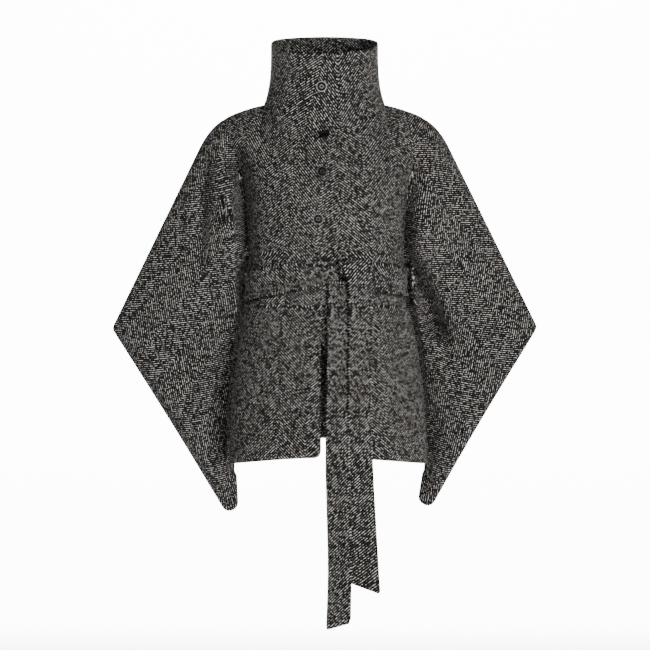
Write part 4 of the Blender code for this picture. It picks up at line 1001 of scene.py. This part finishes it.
def tweed_material(name, stripe_start, turn_degrees):
    """Herringbone tweed on the cut's UV in metres.

    A row's height is up the cloth less the zigzag of the distance across, a cosine of it makes the rib, and
    noise stretched along the row breaks the rib into slubs.
    """
    made, tree, shader = new_material(name)
    uv = node(tree, "ShaderNodeUVMap", {"uv_map": "cut"}).outputs["UV"]
    grain = node(tree, "ShaderNodeMapping", {"Rotation": (0.0, 0.0, np.radians(turn_degrees)),
                                             "Location": (-stripe_start, 0.0, 0.0)}, {"Vector": uv})
    wobble = node(tree, "ShaderNodeTexNoise", {"Scale": WOBBLE_SCALE, "Detail": 2.0},
                  {"Vector": grain.outputs[0]})
    shift = node(tree, "ShaderNodeVectorMath", {"operation": "SUBTRACT", 1: (0.5, 0.5, 0.5)},
                 {0: wobble.outputs["Color"]})
    shift = node(tree, "ShaderNodeVectorMath", {"operation": "SCALE", "Scale": WOBBLE}, {0: shift.outputs[0]})
    moved = node(tree, "ShaderNodeVectorMath", {"operation": "ADD"},
                 {0: grain.outputs[0], 1: shift.outputs[0]})
    parts = node(tree, "ShaderNodeSeparateXYZ", links={0: moved.outputs[0]})
    across, up = parts.outputs["X"], parts.outputs["Y"]
    zigzag = maths(tree, "PINGPONG", across, STRIPE)
    climb = maths(tree, "MULTIPLY", zigzag, TWILL_RISE)
    rise = maths(tree, "SUBTRACT", up, climb)
    row = maths(tree, "DIVIDE", rise, RIB)
    wave = maths(tree, "COSINE", maths(tree, "MULTIPLY", row, 2 * np.pi))
    rib = maths(tree, "MULTIPLY_ADD", wave, 0.5, 0.5)
    length = maths(tree, "DIVIDE", maths(tree, "ADD", zigzag, up), SLUB)
    stripe = maths(tree, "FLOOR", maths(tree, "DIVIDE", across, STRIPE))
    own_row = maths(tree, "MULTIPLY_ADD", maths(tree, "ROUND", row), 3.7, 0.31)
    slub_place = node(tree, "ShaderNodeCombineXYZ",
                      links={"X": length, "Y": own_row, "Z": maths(tree, "MULTIPLY_ADD", stripe, 7.3, 0.37)})
    slub = node(tree, "ShaderNodeTexNoise", {"Scale": 1.0, "Detail": 2.0, "Roughness": 0.6},
                {"Vector": slub_place.outputs[0]})
    fibre = node(tree, "ShaderNodeTexNoise", {"Scale": FIBRE_SCALE, "Detail": 2.0}, {"Vector": uv})
    broken = node(tree, "ShaderNodeMapRange", {"From Min": 0.37, "From Max": 0.60, "To Min": 0.13},
                  {"Value": slub.outputs["Fac"]})
    pale = maths(tree, "MULTIPLY", maths(tree, "POWER", rib, RIB_SHARPNESS), broken.outputs[0])
    haze = node(tree, "ShaderNodeMapRange",
                {"From Min": 0.35, "From Max": 0.75, "To Min": -0.12, "To Max": 0.14},
                {"Value": fibre.outputs["Fac"]})
    pale = maths(tree, "ADD", pale, haze.outputs[0])
    ramp = node(tree, "ShaderNodeValToRGB", links={"Fac": pale})
    ramp.color_ramp.elements[0].color = linear(DARK_YARN)
    ramp.color_ramp.elements[1].color = linear(PALE_YARN)
    ramp.color_ramp.elements[1].position = 0.95
    middle = ramp.color_ramp.elements.new(0.42)
    middle.color = linear(MID_YARN)
    tree.links.new(ramp.outputs[0], shader.inputs["Base Color"])
    hairs = maths(tree, "MULTIPLY", fibre.outputs["Fac"], 0.5)
    height = maths(tree, "ADD", maths(tree, "MULTIPLY", rib, 0.7), hairs)
    bump = node(tree, "ShaderNodeBump", {"Strength": 0.8, "Distance": BUMP_HEIGHT}, {"Height": height})
    tree.links.new(bump.outputs[0], shader.inputs["Normal"])
    shader.inputs["Roughness"].default_value = 0.95
    shader.inputs["Specular IOR Level"].default_value = 0.15
    shader.inputs["Sheen Weight"].default_value = 0.08
    shader.inputs["Sheen Roughness"].default_value = 0.6
    shader.inputs["Sheen Tint"].default_value = linear("cfc8bd")
    return made


TWEEDS = {                  # piece: where a stripe starts in its cut, and how its grain is turned
    "front_right": (-0.020, 0.0),
    "front_left": (-0.021, 0.0),
    "back": (0.0, 0.0),
    "sleeve_right": (0.010, 38.0),
    "sleeve_left": (0.010, -38.0),
    "collar": (-0.012, 0.0),
    "belt_band": (0.0175, 0.0),
    "belt_tail": (-0.004, 0.0),
    "belt_knot": (0.060, 0.0),
}
tweeds = {name: tweed_material(f"herringbone_tweed_{name}", *cut) for name, cut in TWEEDS.items()}
print(len(tweeds), "cuts of one tweed")

# %% [markdown]
# ## Sewing the body and the sleeves
# On the real jacket a seam joins two pieces into one surface. Here they stay two objects, 0.3 mm apart,
# because a maker cuts them apart. Each one's inner face is found along its normals, so two pieces that
# meet in a smooth seam share their normals there, and their walls end side by side. Along a seam between
# front and back the normals are made level, and where the cloth is sharply folded each piece keeps its
# own.

# %% Body and sleeve pieces
PIECES = (                  # node, face, tweed, edges that are free
    ("front_right", FRONT, "front_right", ("first", "start")),
    ("front_left", FRONT, "front_left", ("first", "start")),
    ("back", BACK, "back", ("first",)),
    ("sleeve_right_front", FRONT, "sleeve_right", ("last",)),
    ("sleeve_right_back", BACK, "sleeve_right", ("last",)),
    ("sleeve_left_front", FRONT, "sleeve_left", ("last",)),
    ("sleeve_left_back", BACK, "sleeve_left", ("last",)),
)
EDGES = {"first": (0, slice(None)), "last": (-1, slice(None)),
         "start": (slice(None), 0), "end": (slice(None), -1)}
HOLE_END = (slice(LOWER_ROWS, None), -1)
HOLE_START = (slice(LOWER_ROWS, None), 0)
HEAD = (0, slice(None, None, -1))
ARMHOLE_SEAMS = (           # body piece, its edge along the armhole, sleeve piece
    ("front_right", HOLE_END, "sleeve_right_front"),
    ("front_left", HOLE_END, "sleeve_left_front"),
    ("back", HOLE_START, "sleeve_right_back"),
    ("back", HOLE_END, "sleeve_left_back"),
)


def level_edge(normals, edge):
    """Takes the front-to-back part out of the normals along a seam that joins front and back."""
    normals[edge] = unit(normals[edge] * np.array((1.0, 0.0, 1.0)))


def share_edge(a, edge_a, b, edge_b):
    """Brings the normals of two pieces together along their seam, unless it is a sharp fold."""
    one, two = a[edge_a].copy(), b[edge_b].copy()
    weight = np.clip((one * two).sum(-1, keepdims=True), 0.0, 1.0) ** 0.5
    for normals, edge, mixed in ((a, edge_a, one + weight * two), (b, edge_b, two + weight * one)):
        normals[edge] = unit(mixed)


def free_edges(grid, edges):
    """1 where the piece has a free edge, and 0 elsewhere."""
    free = np.zeros(grid.shape[:2])
    for edge in edges:
        free[EDGES[edge]] = 1.0
    return free.ravel()


def sheet_piece(name, grid, normal, flat, thickness, free, tweed):
    """Makes a piece of cloth in place of its solid, and hides the solid."""
    made[name] = cloth(f"{name}_cloth", grid, normal, flat, thickness, free, tweeds[tweed])
    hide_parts(name)


normals = {name: outward(grids[name], np.array((0.0, face, 0.0))) for name, face, *_ in PIECES}
for body_name, edge, sleeve_name in ARMHOLE_SEAMS:
    share_edge(normals[body_name], edge, normals[sleeve_name], HEAD)
for name in ("front_right", "front_left", "back"):
    level_edge(normals[name], (slice(0, LOWER_ROWS + 1), -1))
    level_edge(normals[name], (-1, np.flatnonzero(np.abs(grids[name][-1, :, 0]) > NECK_HALF_WIDTH - 0.001)))
level_edge(normals["back"], (slice(0, LOWER_ROWS + 1), 0))
for name in SLEEVE_PANELS:
    level_edge(normals[name], EDGES["start"])
    level_edge(normals[name], EDGES["end"])

made = {}
for name, face, tweed, edges in PIECES:
    grid, smooth = grids[name], smooth_grids[name]
    middle_column = grid.shape[1] // 2 if name == "back" else 0
    if name in SLEEVE_PANELS:
        guess = straight_guess(grid)
        outwards = SLEEVE_PANELS[name][0] * SEAM
    else:
        guess = arc_guess(smooth, middle_column, 0.0)
        guess[..., 0] *= -1 if name == "front_right" else 1
        guess[..., 0] += grid[len(grid) // 2, middle_column, 0]
        outwards = 0.0
    apart = np.array((outwards, face * SEAM / 2, 0.0))
    flat = laid_flat(smooth, guess)
    sheet_piece(name, grid + apart, normals[name], flat, TWEED, free_edges(grid, edges), tweed)

# %% [markdown]
# ## The collar's cloth
# The collar is two layers sewn and turned, so its wall is thicker, and its rim and both ends are pressed
# round. Its flat cut bends, because the neckline is longer than the rim, and the springs find that bend
# by themselves.

# %% Collar piece
COLLAR_CUT_LIFT = 0.63      # where the collar lies on the same cloth, up from the hem
NECK_SLOPE = -0.30          # the collar's wall leans this much at the neckline, where it meets the yoke
COLLAR_GAP = 1.4 * SEAM     # it stands on sloping cloth, so it is lifted by more than the gap itself
collar = grids["collar"]
around = collar.copy()
around[..., 2] = 0.0
collar_normal = outward(collar, around)
collar_normal[0, :, 2] = NECK_SLOPE
collar_normal[0] = unit(collar_normal[0])
collar_flat = laid_flat(collar, arc_guess(collar, 0, COLLAR_CUT_LIFT))
sheet_piece("collar", collar + np.array((0.0, 0.0, COLLAR_GAP)), collar_normal, collar_flat, DOUBLED,
            free_edges(collar, ("last", "start", "end")), "collar")

# %% [markdown]
# ## Belt
# The belt is a tube of the same tweed, turned and pressed flat to 50 mm. It goes round once and is tied
# in a half knot: near the knot the band is gathered to half its width, which throws creases along it, and
# its end rounds over and dives behind the tails. The two tails hang straight down by their own weight,
# and one crosses the other. The band is the waist's own squarish round, grown by its clearance and its
# thickness.

# %% Belt band
BELT_STEPS, BELT_ROWS = 300, 16
GATHER_REACH = 0.42         # radians of the waist's round in which the creases fade
CREASE_DEPTH, CREASES = 0.0013, 2.5     # the number of creases across the band
DIVE_REACH, DIVE_DEPTH = 0.085, 0.0034  # radians in which the band's end rounds over, and how far
EVERY_EDGE = ("first", "last", "start", "end")
BAND_EDGE_GAP = 0.0026      # the pressed edges stand off the jacket, which draws the dark line under the belt


def waist_point(angle, grow):
    """A point round the waist, grown outwards, by its angle from the front by the wearer's right."""
    right, ahead = np.sin(angle) > 0, np.cos(angle) > 0
    sizes = {name: body_size(name, BELT_BACK_HEIGHT) + grow for name in BODY_COLUMNS[1:]}
    half_width = np.where(right, sizes["right"], sizes["left"])
    depth = np.where(ahead, sizes["front"], sizes["back"])
    reach = squarish(angle, BODY_ROUNDNESS)
    return -half_width * reach * np.sin(angle), -depth * reach * np.cos(angle)


def belt_grid():
    """The band: its points, its flat cut and how much thinner it is in its creases and at its end."""
    before = np.linspace(BEYOND_MIDDLE, 0.0, FINE)
    out, deep = waist_point(before, BELT_CLEARANCE + DOUBLED)
    first = np.interp(-BAND_END[RIGHT], -out, before)
    last = 2 * np.pi + np.interp(-BAND_END[LEFT], -out, before)
    angle = np.linspace(first, last, BELT_STEPS + 1)
    share = np.linspace(0.0, 1.0, BELT_ROWS + 1)[:, None]
    level, width = belt_level(angle, first, last)
    height = level + width * (share - 0.5)
    stands_off = BAND_EDGE_GAP * np.abs(2 * share - 1) ** 4
    out, deep = waist_point(angle, BELT_CLEARANCE + DOUBLED + stands_off)
    grid = np.stack((out, deep, height), axis=-1)
    near = np.exp(-(angle - first) / GATHER_REACH)
    crease = CREASE_DEPTH * near * np.sin(np.pi * CREASES * share + 0.5) ** 2
    dive = DIVE_DEPTH * (1 - ease((angle - first) / DIVE_REACH))
    along_band = np.concatenate(([0.0], np.cumsum(np.hypot(np.diff(out[0]), np.diff(deep[0])))))
    flat = np.stack((np.broadcast_to(share * BELT_WIDTH, height.shape),
                     np.broadcast_to(along_band, height.shape)), axis=-1)
    return grid, flat, crease + dive


belt, belt_flat, thinner = belt_grid()
around = belt.copy()
around[..., 2] = 0.0
belt_normal = outward(belt, around)
belt = belt - belt_normal * thinner[..., None]
sheet_piece("belt_band", belt, belt_normal, belt_flat, DOUBLED - thinner,
            free_edges(belt, EVERY_EDGE), "belt_band")

# %% [markdown]
# ## Belt tails
# A tail hangs like a ruler that is a little bent: its two edges are smooth curves through a short table,
# and the cloth between them is straight. The edges show the twill as small scallops, and the cut ends
# slant.

# %% Belt tails
TAIL_COLUMNS = ("height", "x_right", "x_left", "y_right", "y_left")
TAILS = {
    "belt_tail_under": (
        (-0.3475, 0.009, 0.047, -0.1215, -0.1215),
        (-0.430, 0.008, 0.046, -0.129, -0.131),
        (-0.560, 0.006, 0.0455, -0.1415, -0.1425),
        (-0.640, 0.004, 0.0455, -0.1475, -0.1505),
        (-0.700, 0.004, 0.0468, -0.150, -0.1545),
        (-0.800, 0.006, 0.0485, -0.150, -0.1585),
        (-0.900, 0.008, 0.0495, -0.147, -0.158),
        (-1.021, 0.005, 0.0485, -0.142, -0.152),
    ),
    "belt_tail_over": (
        (-0.302, 0.040, 0.086, -0.117, -0.109),
        (-0.312, 0.039, 0.088, -0.1345, -0.119),
        (-0.345, 0.048, 0.090, -0.138, -0.122),
        (-0.430, 0.049, 0.090, -0.139, -0.128),
        (-0.560, 0.048, 0.089, -0.150, -0.138),
        (-0.640, 0.0480, 0.090, -0.150, -0.142),
        (-0.700, 0.0475, 0.092, -0.1475, -0.1445),
        (-0.800, 0.0470, 0.097, -0.1445, -0.1455),
        (-0.930, 0.0475, 0.106, -0.1360, -0.1440),
    ),
}
TAIL_SLANTS = {"belt_tail_under": 0.014, "belt_tail_over": -0.020}
SLANT_START = 0.8
TAIL_ROWS, TAIL_STEPS = 420, 10
SCALLOP = 0.0005            # the rows of the twill show as small scallops along the pressed edge
END_ROUND = {"belt_tail_under": 0.012, "belt_tail_over": 0.003}
END_DRAW = 0.4              # share of the rounding that the corner is drawn in by
TAIL_WIDTH = 0.9 * BELT_WIDTH   # pulled long, a tail is narrower than the band


def tail_grid(name):
    """A tail and its flat cut: its edges are curves through the table, and its end slants by a soft step."""
    table = TAILS[name]
    heights = column(table, TAIL_COLUMNS, "height")[::-1]
    share = np.linspace(0.0, 1.0, TAIL_ROWS + 1)[:, None]
    down = heights[-1] + (heights[0] - heights[-1]) * share
    edges = [curve(heights, column(table, TAIL_COLUMNS, edge)[::-1], down) for edge in TAIL_COLUMNS[1:]]
    part = np.linspace(0.0, 1.0, TAIL_STEPS + 1)[None, :]
    x = edges[0] + (edges[1] - edges[0]) * part
    y = edges[2] + (edges[3] - edges[2]) * part
    z = down + TAIL_SLANTS[name] * part * ease((share - SLANT_START) / (1 - SLANT_START))
    x = x + SCALLOP * (2 * part - 1) ** 5 * np.cos(2 * np.pi * z / RIB)
    end_round = END_ROUND[name]
    corner = np.clip((end_round - (edges[1] - x)) / end_round, 0.0, 1.0)
    x = x - end_round * END_DRAW * corner ** 2 * np.clip((z[-1:] + end_round - z) / end_round, 0, 1) ** 2
    grid = np.stack(np.broadcast_arrays(x, y, z), axis=-1)
    flat = np.stack(np.broadcast_arrays(part * TAIL_WIDTH, z), axis=-1)
    return grid, flat


for name in TAILS:
    grid, flat = tail_grid(name)
    normal = outward(grid, np.array((0.0, FRONT, 0.0)))
    sheet_piece(name, grid, normal, flat, DOUBLED, free_edges(grid, EVERY_EDGE), "belt_tail")

# %% [markdown]
# ## The tie
# Between the band's end and the over tail a small lobe of the belt's own wrap shows, pulled tight. It is
# drawn as a squarish ball, the usual stand-in for a bundle of cloth: sine and cosine raised to a power
# below one.

# %% Tie
KNOT_CENTRE = (0.0331, -0.3165)         # X and height
KNOT_HALVES = (0.0055, 0.0080, 0.0135)  # half its width, depth and height
KNOT_SQUARENESS = 0.75      # below 1 the ball is squarer
KNOT_STEPS, KNOT_LEVELS = 64, 40


def power(values, exponent):
    """The values to a power, with their signs kept."""
    return np.sign(values) * np.abs(values) ** exponent


def closed_round(name, rings, material, uv=None):
    """A closed round body from rings of points. A fan to the middle of the first and last ring closes it."""
    levels, steps = rings.shape[:2]
    points = np.concatenate((rings.reshape(-1, 3), rings[:1].mean(axis=1), rings[-1:].mean(axis=1)))
    index = np.arange(levels * steps).reshape(levels, steps)
    on = np.roll(index, -1, axis=1)
    quads = np.stack((index[:-1], on[:-1], on[1:], index[1:]), axis=-1).reshape(-1, 4).tolist()
    low = np.stack((np.full(steps, levels * steps), on[0], index[0]), axis=-1).tolist()
    high = np.stack((np.full(steps, levels * steps + 1), index[-1], on[-1]), axis=-1).tolist()
    if uv is not None:
        uv = np.concatenate((uv.reshape(-1, 2), uv[:1].mean(axis=1), uv[-1:].mean(axis=1)))
    return new_piece(name, points, quads + low + high, uv, material)


rise = np.linspace(-np.pi / 2, np.pi / 2, KNOT_LEVELS + 1)[1:-1, None]
turn = 2 * np.pi * np.arange(KNOT_STEPS)[None] / KNOT_STEPS
ball_reach, ball_height = power(np.cos(rise), KNOT_SQUARENESS), power(np.sin(rise), KNOT_SQUARENESS)
ball = np.stack(np.broadcast_arrays(ball_reach * power(np.cos(turn), KNOT_SQUARENESS),
                                    ball_reach * power(np.sin(turn), KNOT_SQUARENESS), ball_height), axis=-1)
knot_deep = -body_size("front", BELT_BACK_HEIGHT) - BELT_CLEARANCE - KNOT_HALVES[1]
rings = np.array((KNOT_CENTRE[0], knot_deep, KNOT_CENTRE[1])) + ball * np.array(KNOT_HALVES)
made["belt_knot"] = closed_round("belt_knot_cloth", rings, tweeds["belt_knot"], rings[..., (0, 2)])
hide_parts("belt_knot")
print("tie", rings.reshape(-1, 3).shape[0], "points")

# %% [markdown]
# ## Buttons
# Coat buttons are cast from polyester resin, turned on a lathe and polished: a raised rim, a groove, a
# low centre with four holes, and thread through them. A lathe shape is a profile turned round an axis,
# and the holes are pressed into its centre as small round wells. Each button lies on the highest point of
# the cloth under it, and the second one droops on a loose thread. The pale rings on the raised rims are a
# painted highlight: near white is painted into the resin's colour where the rims catch the light, more on
# some buttons than others. A number at each point says how much, because a second material would give a
# hard edge where a highlight has none.

# %% Buttons
BUTTON_DIAMETER = 0.021
BUTTON_THICKNESS = 0.0042
BUTTON_STANDOFF = 0.0005
BUTTON_PLACES = (           # X, height, nod and roll in degrees, share of painted highlight
    (-0.0056, 0.033, 0.0, 0.0, 1.0),
    (-0.0034, -0.0475, 46.0, 14.0, 0.0),
    (-0.0043, -0.132, 6.0, 0.0, 0.20),
    (-0.0120, -0.2235, 0.0, 0.0, 0.50),
)
BUTTON_PROFILE_COLUMNS = ("radius", "thickness")
BUTTON_PROFILE = (          # shares of the radius and the thickness, from the back to the middle of the front
    (0.30, 0.00), (0.90, 0.00), (0.97, 0.08), (1.00, 0.28), (1.00, 0.66), (0.985, 0.84), (0.94, 0.96),
    (0.88, 1.00), (0.82, 0.96), (0.775, 0.84), (0.745, 0.66), (0.72, 0.56), (0.69, 0.54), (0.66, 0.57),
    (0.62, 0.66), (0.57, 0.70), (0.50, 0.70), (0.44, 0.68), (0.38, 0.66), (0.32, 0.65), (0.26, 0.65),
    (0.20, 0.65), (0.14, 0.65), (0.08, 0.65),
)
HOLE_PLACE, HOLE_RADIUS, HOLE_DEPTH = 0.0022, 0.0010, 0.0016
HOLE_ANGLES = (45, 135, 225, 315)
HOLE_FLOOR, HOLE_SLOPE = 0.7, 0.5       # shares of the hole's radius: its flat floor, and the slope round it
BUTTON_STEPS = 96
RESIN_AND_HIGHLIGHT_COLOURS = ("040405", "f0eee9")    # as cast, and the painted highlight on the raised rims
PAINTED_HIGHLIGHT_RINGS = ((0.91, 0.050, 1.0), (0.30, 0.070, 0.50))    # painted highlight rings: share of the radius, width, strength


def resting_place(x, height, nod, roll):
    """Where a button rests on the over front and the collar, and the direction it faces."""
    grids_near = (collar[:, :NECK_COLUMNS], grids["front_right"])
    normals_near = (collar_normal[:, :NECK_COLUMNS], normals["front_right"])
    points = np.concatenate([grid.reshape(-1, 3) for grid in grids_near])
    facing = np.concatenate([normal.reshape(-1, 3) for normal in normals_near])
    away = np.hypot(points[:, 0] - x, points[:, 2] - height)
    normal = facing[away < BUTTON_DIAMETER / 2].mean(axis=0)
    leaning = np.array((-np.sin(np.radians(roll)), 0.0, np.cos(np.radians(roll))))
    normal = unit(normal * np.cos(np.radians(nod)) - leaning * np.sin(np.radians(nod)))
    place = np.array((x, points[np.argmin(away), 1], height))
    rise = (points - place) @ normal
    beside = np.linalg.norm(points - place - rise[:, None] * normal, axis=1)
    highest = rise[(beside < BUTTON_DIAMETER / 2) & (away < BUTTON_DIAMETER)].max()
    return place + normal * (highest + BUTTON_STANDOFF), normal


resin, resin_tree, resin_shader = new_material("polished_black_resin")
# The rims' pale rings are a painted highlight: a number at each point runs a ramp from black resin to near
# white.
painted_highlight = node(resin_tree, "ShaderNodeAttribute", {"attribute_name": "painted_highlight"}).outputs["Fac"]
highlight_ramp = node(resin_tree, "ShaderNodeValToRGB", links={"Fac": painted_highlight})
for element, colour in zip(highlight_ramp.color_ramp.elements, RESIN_AND_HIGHLIGHT_COLOURS):
    element.color = linear(colour)
resin_tree.links.new(highlight_ramp.outputs[0], resin_shader.inputs["Base Color"])
resin_shader.inputs["Roughness"].default_value = 0.14
resin_shader.inputs["Coat Weight"].default_value = 0.05
resin_shader.inputs["Specular IOR Level"].default_value = 0.30
resin_shader.inputs["Coat Roughness"].default_value = 0.12
profile_radius = column(BUTTON_PROFILE, BUTTON_PROFILE_COLUMNS, "radius")
profile_thickness = column(BUTTON_PROFILE, BUTTON_PROFILE_COLUMNS, "thickness")
point_shares = np.append(np.repeat(profile_radius, BUTTON_STEPS), (0.0, 0.0))
turn = 2 * np.pi * np.arange(BUTTON_STEPS)[None] / BUTTON_STEPS
for number, (x, height, nod, roll, highlight_share) in enumerate(BUTTON_PLACES, start=1):
    name = f"button_{number}"
    base, normal = resting_place(x, height, nod, roll)
    up = unit(np.array((0.0, 0.0, 1.0)) - normal * normal[2])
    across = np.cross(up, normal)
    radius = profile_radius[:, None] * BUTTON_DIAMETER / 2
    thick = profile_thickness[:, None] * BUTTON_THICKNESS
    side_way, up_way = radius * np.cos(turn), radius * np.sin(turn)
    wells = np.zeros_like(side_way)
    for quarter in np.radians(HOLE_ANGLES):
        from_hole = np.hypot(side_way - HOLE_PLACE * np.cos(quarter), up_way - HOLE_PLACE * np.sin(quarter))
        wells += HOLE_DEPTH * (1 - ease((from_hole / HOLE_RADIUS - HOLE_FLOOR) / HOLE_SLOPE))
    lift = thick - wells * (thick > 0)
    rings = base + side_way[..., None] * across + up_way[..., None] * up + lift[..., None] * normal
    made[name] = closed_round(f"{name}_resin", rings, resin)
    # Painted highlight at each point: bells at the rim and near the centre, scaled by the button's share.
    highlight_amount = highlight_share * sum(strength * bell(point_shares - place, width)
                            for place, width, strength in PAINTED_HIGHLIGHT_RINGS)
    layer = made[name].data.attributes.new("painted_highlight", "FLOAT", "POINT")
    layer.data.foreach_set("value", highlight_amount.astype(np.float32))
    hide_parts(name)
print(len(BUTTON_PLACES), "buttons")
